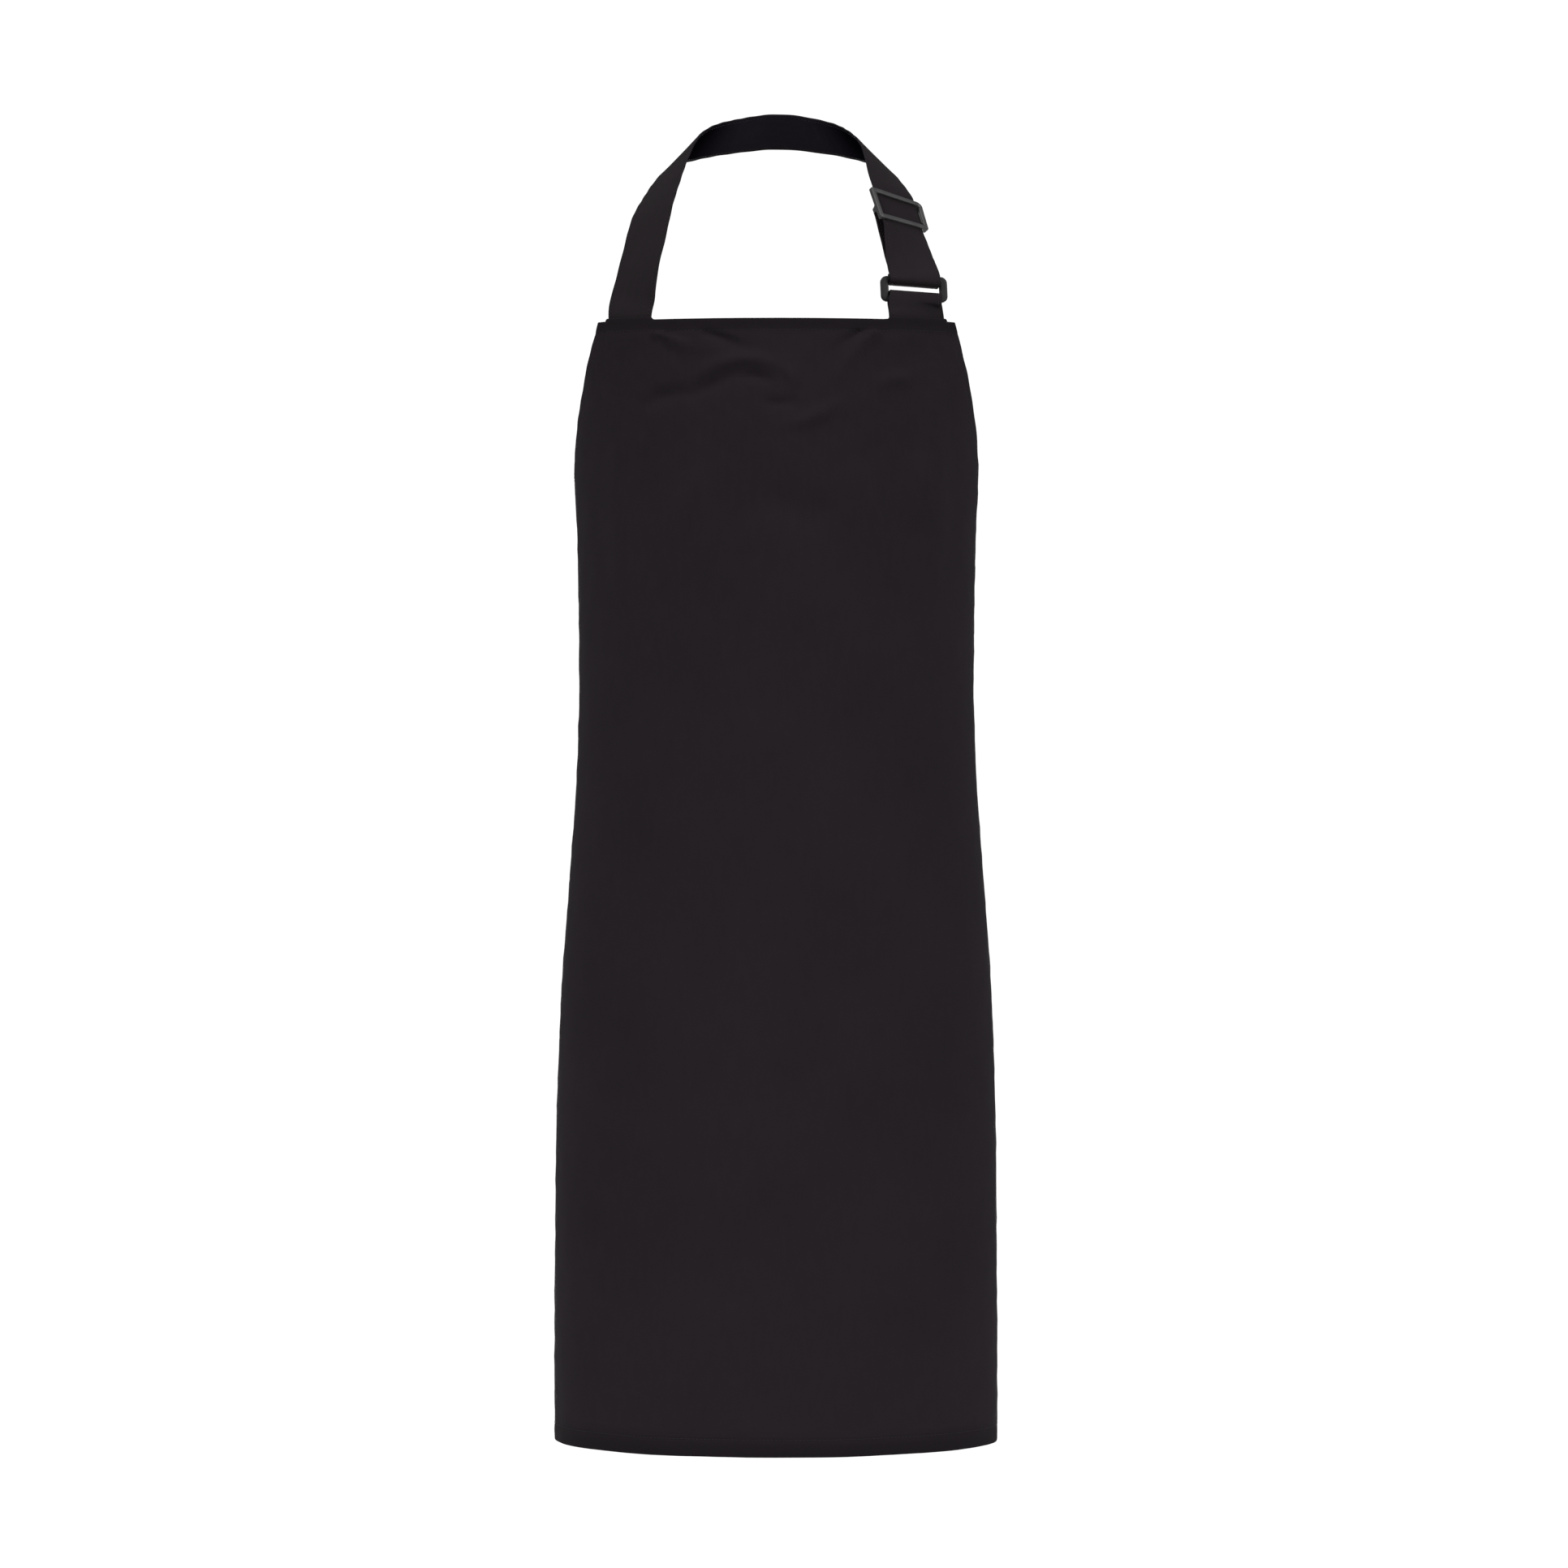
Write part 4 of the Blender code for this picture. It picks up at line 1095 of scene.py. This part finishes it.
slider_low = neck.along[np.argmin(np.linalg.norm(neck.middle - slider_foot, axis=1))]
neck_route = neck.bridged(slider_low, neck.length - NECK_FOLD)
neck_route = neck_route.fine(FINE_ROUTE).relaxed(0.03, slider_low - 0.045, 40)
neck_route = neck_route.raised(slider_low - SLIDER_FOOT, 0.040, STRAP_RISE)
neck_route = neck_route.raised(neck_route.length - RING_FOLD, RING_REACH, RING_ROOM)
neck_strap = RootedStrap(neck_route, STRAP_THICKNESS, spread=ROOT_SPREAD, half=STRAP_HALF,
                         gathers=[(neck_route.length - 0.010, 0.026, RING_SQUEEZE, 0.0)])
# The inner face takes the shaded copy of the cloth, with painted shade around the nape.
item = neck_strap.make("neck_strap_ribbon", STRAP_CLOTH, shade=painted_nape_shade(neck_route), inner=STRAP_INNER_SHADE)
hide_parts("neck_strap")
add_stitches("neck_strap_edge_stitching", neck_strap.edge_lines(start=neck_strap.root_length + 0.002))

tail_part = Route.from_node("strap_tail", neck.out[-1], neck.middle[-1])
loop_part = Route.from_node("strap_end_loop", tail_part.out[-1], tail_part.middle[-1])
tail = tail_part.joined(loop_part, TAIL_JOIN)
before_tail = neck.middle[-1] - TAIL_JOIN * unit(tail_part.middle[1] - tail_part.middle[0])
tail = Route(*(np.concatenate([start, values]) for start, values in
               (([before_tail], tail.middle), (tail.out[:1], tail.out), (tail.half[:1], tail.half))))
slider_out = node_axes("tri_glide_slider", slide_axis)[0][2]
tail = tail.fine(0.0016)
tail = tail.moved(tail.length, 0.060, slider_out * LOOP_RISE)
tail_strap = Strap(tail, STRAP_THICKNESS, half=TAIL_HALF,
                   gathers=[(0.0, 0.016, RING_SQUEEZE, 0.0), (tail.length - 0.016, 0.036, LOOP_SQUEEZE, 0.0)])
item = tail_strap.make("strap_tail_ribbon", STRAP_CLOTH, body=None, round_ends=(False, True))
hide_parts("strap_tail", "strap_end_loop")
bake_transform(item)
tail_stitching = add_stitches("strap_tail_edge_stitching", tail_strap.edge_lines(start=0.002), body=None)
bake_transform(tail_stitching)

tab_route = tab.fine(0.0014)
fold = tab_route.length / 2
tab_route = tab_route.moved(fold, 0.011, TAB_LIFT)
tab_strap = RootedStrap(tab_route, STRAP_THICKNESS, both_ends=True, under=STRAP_THICKNESS + 0.0002,
                        spread=TAB_SPREAD, half=TAB_HALF, gathers=[(fold, 0.010, TAB_SQUEEZE, 0.0)])
item = tab_strap.make("ring_tab_ribbon", STRAP_CLOTH)
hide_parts("ring_tab")
tab_lines = tab_strap.edge_lines(start=tab_strap.root_length + 0.002,
                                 end=tab_strap.route.length - tab_strap.root_length - 0.002, faces=(True,))
add_stitches("ring_tab_edge_stitching", tab_lines)

# ---- sewn bar tacks

add_bartack("neck_strap_root_bartack", [neck_strap.cross_line(place, outer=False) for place in ROOT_BARTACKS],
            "strap_root_bartack")
tab_end = tab_strap.route.length
add_bartack("ring_tab_root_bartack", [tab_strap.cross_line(tab_end - place) for place in ROOT_BARTACKS],
            "tab_root_bartack")
loop_sewn = tail_strap.route.length - LOOP_SEWN
add_bartack("strap_end_sewn_bartack", [tail_strap.cross_line(loop_sewn)], "strap_end_bartack", "slider")

# ---- waist ties and bow

KNOT_LOW, KNOT_HIGH = (np.array(corner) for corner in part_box("bow_knot"))
KNOT_CENTRE, KNOT_HALF = (KNOT_LOW + KNOT_HIGH) / 2, (KNOT_HIGH - KNOT_LOW) / 2

for side_name, side in (("left", -1), ("right", 1)):
    route = Route.from_node(f"waist_tie_{side_name}", (side, 0.3, 0), (side, 0, 0)).fine()
    tie = Strap(route, TIE_THICKNESS, gathers=[(route.length + 0.004, *TIE_GATHER)])
    item = tie.make(f"waist_tie_{side_name}_ribbon", STRAP_CLOTH)
    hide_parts(f"waist_tie_{side_name}")
    add_stitches(f"waist_tie_{side_name}_stitching", tie.edge_lines())
    tacks = [tie.cross_line(place, TIE_MARGIN, outer) for place in TIE_BARTACKS for outer in (True, False)]
    add_bartack(f"waist_tie_{side_name}_bartack", tacks, f"tie_bartack_{side_name}", turns=20)

    route = Route.from_node(f"bow_loop_{side_name}", (0, -1, 0), (0.0, KNOT_LOW[1], KNOT_HIGH[2])).fine()
    for place, end in ((0.0, route.middle[0]), (route.length, route.middle[-1])):
        into_knot = (-side * LOOP_INTO_KNOT, KNOT_CENTRE[1] + LOOP_END_BACK - end[1], 0.0)
        route = route.moved(place, KNOT_REACH, into_knot)
    loop = Strap(route, TIE_THICKNESS, curl=0.0006,
                 gathers=[(0.0, *LOOP_GATHER), (route.length, *LOOP_GATHER)])
    item = loop.make(f"bow_loop_{side_name}_ribbon", STRAP_CLOTH)
    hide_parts(f"bow_loop_{side_name}")
    add_stitches(f"bow_loop_{side_name}_stitching", loop.edge_lines())

    route = Route.from_node(f"bow_tail_{side_name}", (0, -1, 0), (0.0, 0.04, 1.0)).fine()
    route = route.moved(0.0, KNOT_REACH, (-side * TAIL_INTO_KNOT[0], 0.002, TAIL_INTO_KNOT[1])).fine()
    free = Strap(route, TIE_THICKNESS, curl=-0.0004, gathers=[(-0.002, *TAIL_GATHER)])
    item = free.make(f"bow_tail_{side_name}_ribbon", STRAP_CLOTH, body=None, round_ends=(False, True))
    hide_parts(f"bow_tail_{side_name}")
    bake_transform(item)
    hem = route.length - TAIL_HEM
    tail_stitching = add_stitches(f"bow_tail_{side_name}_stitching", free.edge_lines(end=hem)
                                  + [free.cross_line(hem, outer=outer) for outer in (True, False)], body=None)
    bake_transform(tail_stitching)


def rounded(angle, power):
    """A point on a circle of radius 1 that is squarer the smaller the power."""
    return [math.copysign(abs(value) ** power, value) for value in (math.cos(angle), math.sin(angle))]


def make_knot():
    """Both ties wrapped over each other: a gathered band round the middle, over a soft core."""
    bm = bmesh.new()
    places, rings = [], []
    for step in range(KNOT_TURNS):
        angle = 2 * math.pi * step / KNOT_TURNS
        out_y, out_z = rounded(angle, 2 / 2.4)
        ring = []
        for column in range(KNOT_COLUMNS + 1):
            share = -1 + 2 * column / KNOT_COLUMNS
            lean = 0.22 * math.sin(angle) * (1 - share * share)
            fold = (0.0010 * math.sin(share * 9.0 + 1.4 * math.sin(angle) + 0.6)
                    + 0.0006 * math.sin(share * 17.0 - 2.0 * math.cos(angle)))
            round_off = (1 - abs(share) ** 5.0) ** 0.5 * 0.34 + 0.66
            waist = 0.93 + 0.07 * share * share
            reach_y, reach_z = (size * KNOT_FILL * round_off * waist for size in KNOT_HALF[1:])
            across = KNOT_HALF[0] * KNOT_WIDTH * share * (1 + 0.04 * math.sin(3 * angle)) + lean * 0.004
            offset = np.array([across, out_y * (reach_y + fold), out_z * (reach_z + fold)])
            ring.append(bm.verts.new(KNOT_CENTRE + offset))
            # The third value is painted shade, growing towards the wrap's rounded sides.
            places.append((share * KNOT_HALF[0] * 1.6, angle * KNOT_HALF[2], 0.25 * (1 - round_off)))
        rings.append(ring)
    for ring, after in zip(rings, rings[1:] + rings[:1]):
        for column in range(KNOT_COLUMNS):
            bm.faces.new((ring[column], ring[column + 1], after[column + 1], after[column]))
    for column, side in ((0, -1), (KNOT_COLUMNS, 1)):
        rims = [[ring[column] for ring in rings]]
        for depth, scale in KNOT_SIDES:
            rim = []
            for vert in rims[-1]:
                point = KNOT_CENTRE + (np.array(vert.co) - KNOT_CENTRE) * scale
                point[0] = KNOT_CENTRE[0] + side * (KNOT_HALF[0] * KNOT_WIDTH - depth)
                rim.append(bm.verts.new(point))
                # Painted shade where the knot's sides turn in towards the ties.
                places.append((point[1] - KNOT_CENTRE[1], point[2] - KNOT_CENTRE[2], 0.6))
            rims.append(rim)
        loft(bm, rims, capped=False)
        bm.faces.new(rims[-1])
    item = add_piece("bow_knot_wrap", bm, STRAP_CLOTH)
    set_cloth_place(item, places)
    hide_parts("bow_knot")


make_knot()

# ---- hardware

def rounded_loop(width, height, radii):
    """Points round a rectangle with rounded corners, the same number on every straight and corner."""
    signs = ((1, 1), (-1, 1), (-1, -1), (1, -1))
    centres = [(across * (width / 2 - radius), up * (height / 2 - radius))
               for (across, up), radius in zip(signs, radii)]
    points = []
    for index, (x, y) in enumerate(centres):
        for step in range(CORNER_STEPS + 1):
            angle = (index + step / CORNER_STEPS) * math.pi / 2
            points.append((x + radii[index] * math.cos(angle), y + radii[index] * math.sin(angle)))
        following, radius = centres[(index + 1) % 4], radii[(index + 1) % 4]
        angle = (index + 1) * math.pi / 2
        start = np.array(points[-1])
        end = np.array((following[0] + radius * math.cos(angle), following[1] + radius * math.sin(angle)))
        points += [tuple(start + (end - start) * step / EDGE_STEPS) for step in range(1, EDGE_STEPS)]
    return np.array(points)


def frame_section(thickness, edge=0.0009, crown=0.00022):
    """Section of a moulded bar: share from its window side to its outer side, inset, and out."""
    flat = thickness / 2 - edge
    turns = [math.radians(angle) for angle in (0.0, 22.5, 45.0, 67.5, 90.0)]
    front = [(edge * (1 - math.cos(turn)), flat + edge * math.sin(turn)) for turn in turns]
    outer = [(inset, -out) for inset, out in front[::-1]] + [(0.00006, 0.0)] + front
    section = [(1.0, -inset, out) for inset, out in outer]
    section += [(0.66, 0.0, thickness / 2 + crown), (0.33, 0.0, thickness / 2 + crown)]
    section += [(0.0, inset, out) for inset, out in outer[::-1]]
    return section + [(0.33, 0.0, -thickness / 2), (0.66, 0.0, -thickness / 2)]


def moulded_frame(bm, outer, inner, section, place, side_depths=None):
    """A closed bar swept round between two loops, deeper at its left and right sides if wanted."""
    rings = []
    front = max(out for _, _, out in section)
    depth = front - min(out for _, _, out in section)
    reach = outer[:, 0].max()
    for outside, inside in zip(outer, inner):
        across = outside - inside
        length = np.linalg.norm(across)
        deeper = 1.0
        if side_depths:
            at_side = float(ease(abs(outside[0]), reach - 0.0052, reach - 0.0020))
            deeper += (side_depths[int(outside[0] > 0)] / depth - 1) * at_side
        ring = []
        for share, inset, out in section:
            spot = inside + across * (share + inset / length)
            ring.append(bm.verts.new(place(np.array((*spot, front - (front - out) * deeper)))))
        rings.append(ring)
    loft(bm, rings, closed=True, capped=False)


def rounded_ring(bm, place, centre, first, second, power, turn=0.0):
    """A ring of points round a centre, rounded between a first and a second half width."""
    ring = []
    for k in range(ROUND_SIDES):
        share, other = rounded(2 * math.pi * (k + turn) / ROUND_SIDES, power)
        offset = share * np.array(first) + other * np.array(second)
        ring.append(bm.verts.new(place(np.array(centre) + offset)))
    return ring


def join_into(item, name, bm):
    """Weld another closed plastic shell into a piece with an exact union."""
    other = add_piece(name, bm, PLASTIC, None)
    union = item.modifiers.new("union", "BOOLEAN")
    union.operation, union.solver, union.object = "UNION", "EXACT", other
    bpy.context.view_layer.update()
    graph = bpy.context.evaluated_depsgraph_get()
    mesh = bpy.data.meshes.new_from_object(item.evaluated_get(graph))
    item.modifiers.clear()
    item.data = mesh
    bpy.data.objects.remove(other)


def make_slider():
    """The front frame, pulled a little out of square, with a cheek at each side that holds the centre bar."""
    axes, middle, size = node_axes("tri_glide_slider", slide_axis)
    local = merged("tri_glide_slider")[0] @ axes.T - middle @ axes.T
    front = local[:, 2].max() - SLIDER_THICKNESS / 2
    centre = middle + axes[2] * front

    def pull(point):
        right, up = (np.clip(point[k] / size[k] + 0.5, 0.0, 1.0) for k in (0, 1))
        shares = (right * up, (1 - right) * up, (1 - right) * (1 - up), right * (1 - up))
        return sum(share * np.array((*move, 0.0)) for share, move in zip(shares, SLIDER_PULL))

    def place(point):
        return centre + (point + pull(point) * (1.0, 0.0, 0.0)) @ axes

    def frame_place(point):
        return centre + (point + pull(point)) @ axes

    bm = bmesh.new()
    outer = rounded_loop(size[0], size[1], SLIDER_CORNERS)
    inner = rounded_loop(SLIDER_WINDOW, size[1] - 2 * SLIDER_BAR, SLIDER_WINDOW_CORNERS)
    moulded_frame(bm, outer, inner, frame_section(SLIDER_THICKNESS, 0.0006), frame_place, SLIDER_SIDE_DEPTHS)
    item = add_piece("strap_slider_moulding", bm, PLASTIC, "slider")
    wide, narrow = CHEEK_HALVES
    width, depth = CENTRE_BAR
    rear = CENTRE_BAR_OUT - depth / 2 - front
    for name, sign in (("slider_cheek_m1", -1), ("slider_cheek_1", 1)):
        bm = bmesh.new()
        rings = []
        for part in np.linspace(0.0, 1.0, CHEEK_STEPS + 1):
            drop = ease(part, 0.0, 1.0)
            spot = (sign * (SLIDER_WINDOW / 2 + 0.0002), 0.0, CHEEK_TOP + (rear - CHEEK_TOP) * part)
            rings.append(rounded_ring(bm, place, spot, (CHEEK_THICKNESS / 2, 0.0, 0.0),
                                      (0.0, wide * (1 - drop) + narrow * drop, 0.0), 0.5, 0.5))
        loft(bm, rings)
        join_into(item, name, bm)
    bm = bmesh.new()
    reach = SLIDER_WINDOW / 2 + 0.0005
    loft(bm, [rounded_ring(bm, place, (-reach + 2 * reach * step / BAR_STEPS, 0.0, rear + depth / 2),
                           (0.0, width / 2, 0.0), (0.0, 0.0, depth / 2), 0.6)
              for step in range(BAR_STEPS + 1)])
    join_into(item, "slider_centre_bar", bm)
    item.data.shade_smooth()
    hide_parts("tri_glide_slider")


def make_ring():
    axes, middle, size = node_axes("rectangle_ring", (0.0, 0.0, 1.0))
    bm = bmesh.new()
    outer = rounded_loop(size[0], size[1], (RING_CORNER,) * 4)
    inner = rounded_loop(size[0] - 2 * RING_END, size[1] - 2 * RING_BAR, (RING_WINDOW_CORNER,) * 4)
    moulded_frame(bm, outer, inner, frame_section(RING_BAR, edge=0.0012, crown=0.0),
                  lambda point: middle + point @ axes)
    item = add_piece("ring_moulding", bm, RING_PLASTIC, "ring")
    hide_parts("rectangle_ring")


make_slider()
make_ring()

# ---- studio

def add_softbox(name, azimuth, height, spread, strength):
    """A large soft light far away. azimuth 0 is the camera's side and 90 the object's right."""
    light = bpy.data.lights.new(name, "SUN")
    light.energy = strength
    light.angle = math.radians(spread)
    item = bpy.data.objects.new(name, light)
    turn, rise = math.radians(azimuth), math.radians(height)
    place = Vector((math.sin(turn) * math.cos(rise), -math.cos(turn) * math.cos(rise), math.sin(rise)))
    item.rotation_euler = place.to_track_quat("Z", "Y").to_euler()
    item.location = place * 3.0
    bpy.context.scene.collection.objects.link(item)


def make_world():
    """White surroundings, dimmer as a light than as a background."""
    world = bpy.data.worlds.new("studio")
    world.use_nodes = True
    tree = world.node_tree
    white = (1.0, 1.0, 1.0, 1.0)
    seen = fill(tree, tree.nodes["Background"], Color=white, Strength=BACKGROUND)
    lit = add_node(tree, "ShaderNodeBackground", Color=white, Strength=SKY_LIGHT)
    mix = add_node(tree, "ShaderNodeMixShader")
    rays = add_node(tree, "ShaderNodeLightPath")
    for socket, value in zip(mix.inputs, (rays.outputs["Is Camera Ray"], lit.outputs[0], seen.outputs[0])):
        put(tree, socket, value)
    tree.links.new(mix.outputs[0], tree.nodes["World Output"].inputs["Surface"])
    bpy.context.scene.world = world


def make_floor():
    bm = bmesh.new()
    bmesh.ops.create_grid(bm, x_segments=8, y_segments=8, size=FLOOR_SIZE)
    bmesh.ops.translate(bm, verts=bm.verts, vec=(0.0, 0.0, CAD_BOX[0][2] - FLOOR_DROP))
    material, tree, shader = new_material("studio_floor")
    cloud = noise(tree, add_node(tree, "ShaderNodeTexCoord").outputs["Object"], 3.0, 3.0)
    fill(tree, shader, Base_Color=ramp(tree, cloud, (0.94,) * 3, (0.96,) * 3), Roughness=0.9,
         Specular_IOR_Level=0.1)
    new_object("studio_floor", bm, material)


make_floor()
scene = bpy.context.scene
scene.view_settings.view_transform = "Standard"
make_world()
for softbox in SOFTBOXES:
    add_softbox(*softbox)

camera_data = bpy.data.cameras.new("photo_view")
camera_data.lens = LENS
camera_data.sensor_width = SENSOR
camera = bpy.data.objects.new("photo_view", camera_data)
camera.location = (CAMERA_SIDE, CAD_BOX[0][1] - CAMERA_DISTANCE, CAMERA_HEIGHT)
camera.rotation_euler = (math.pi / 2, 0.0, 0.0)
scene.collection.objects.link(camera)
scene.camera = camera

bpy.context.view_layer.update()
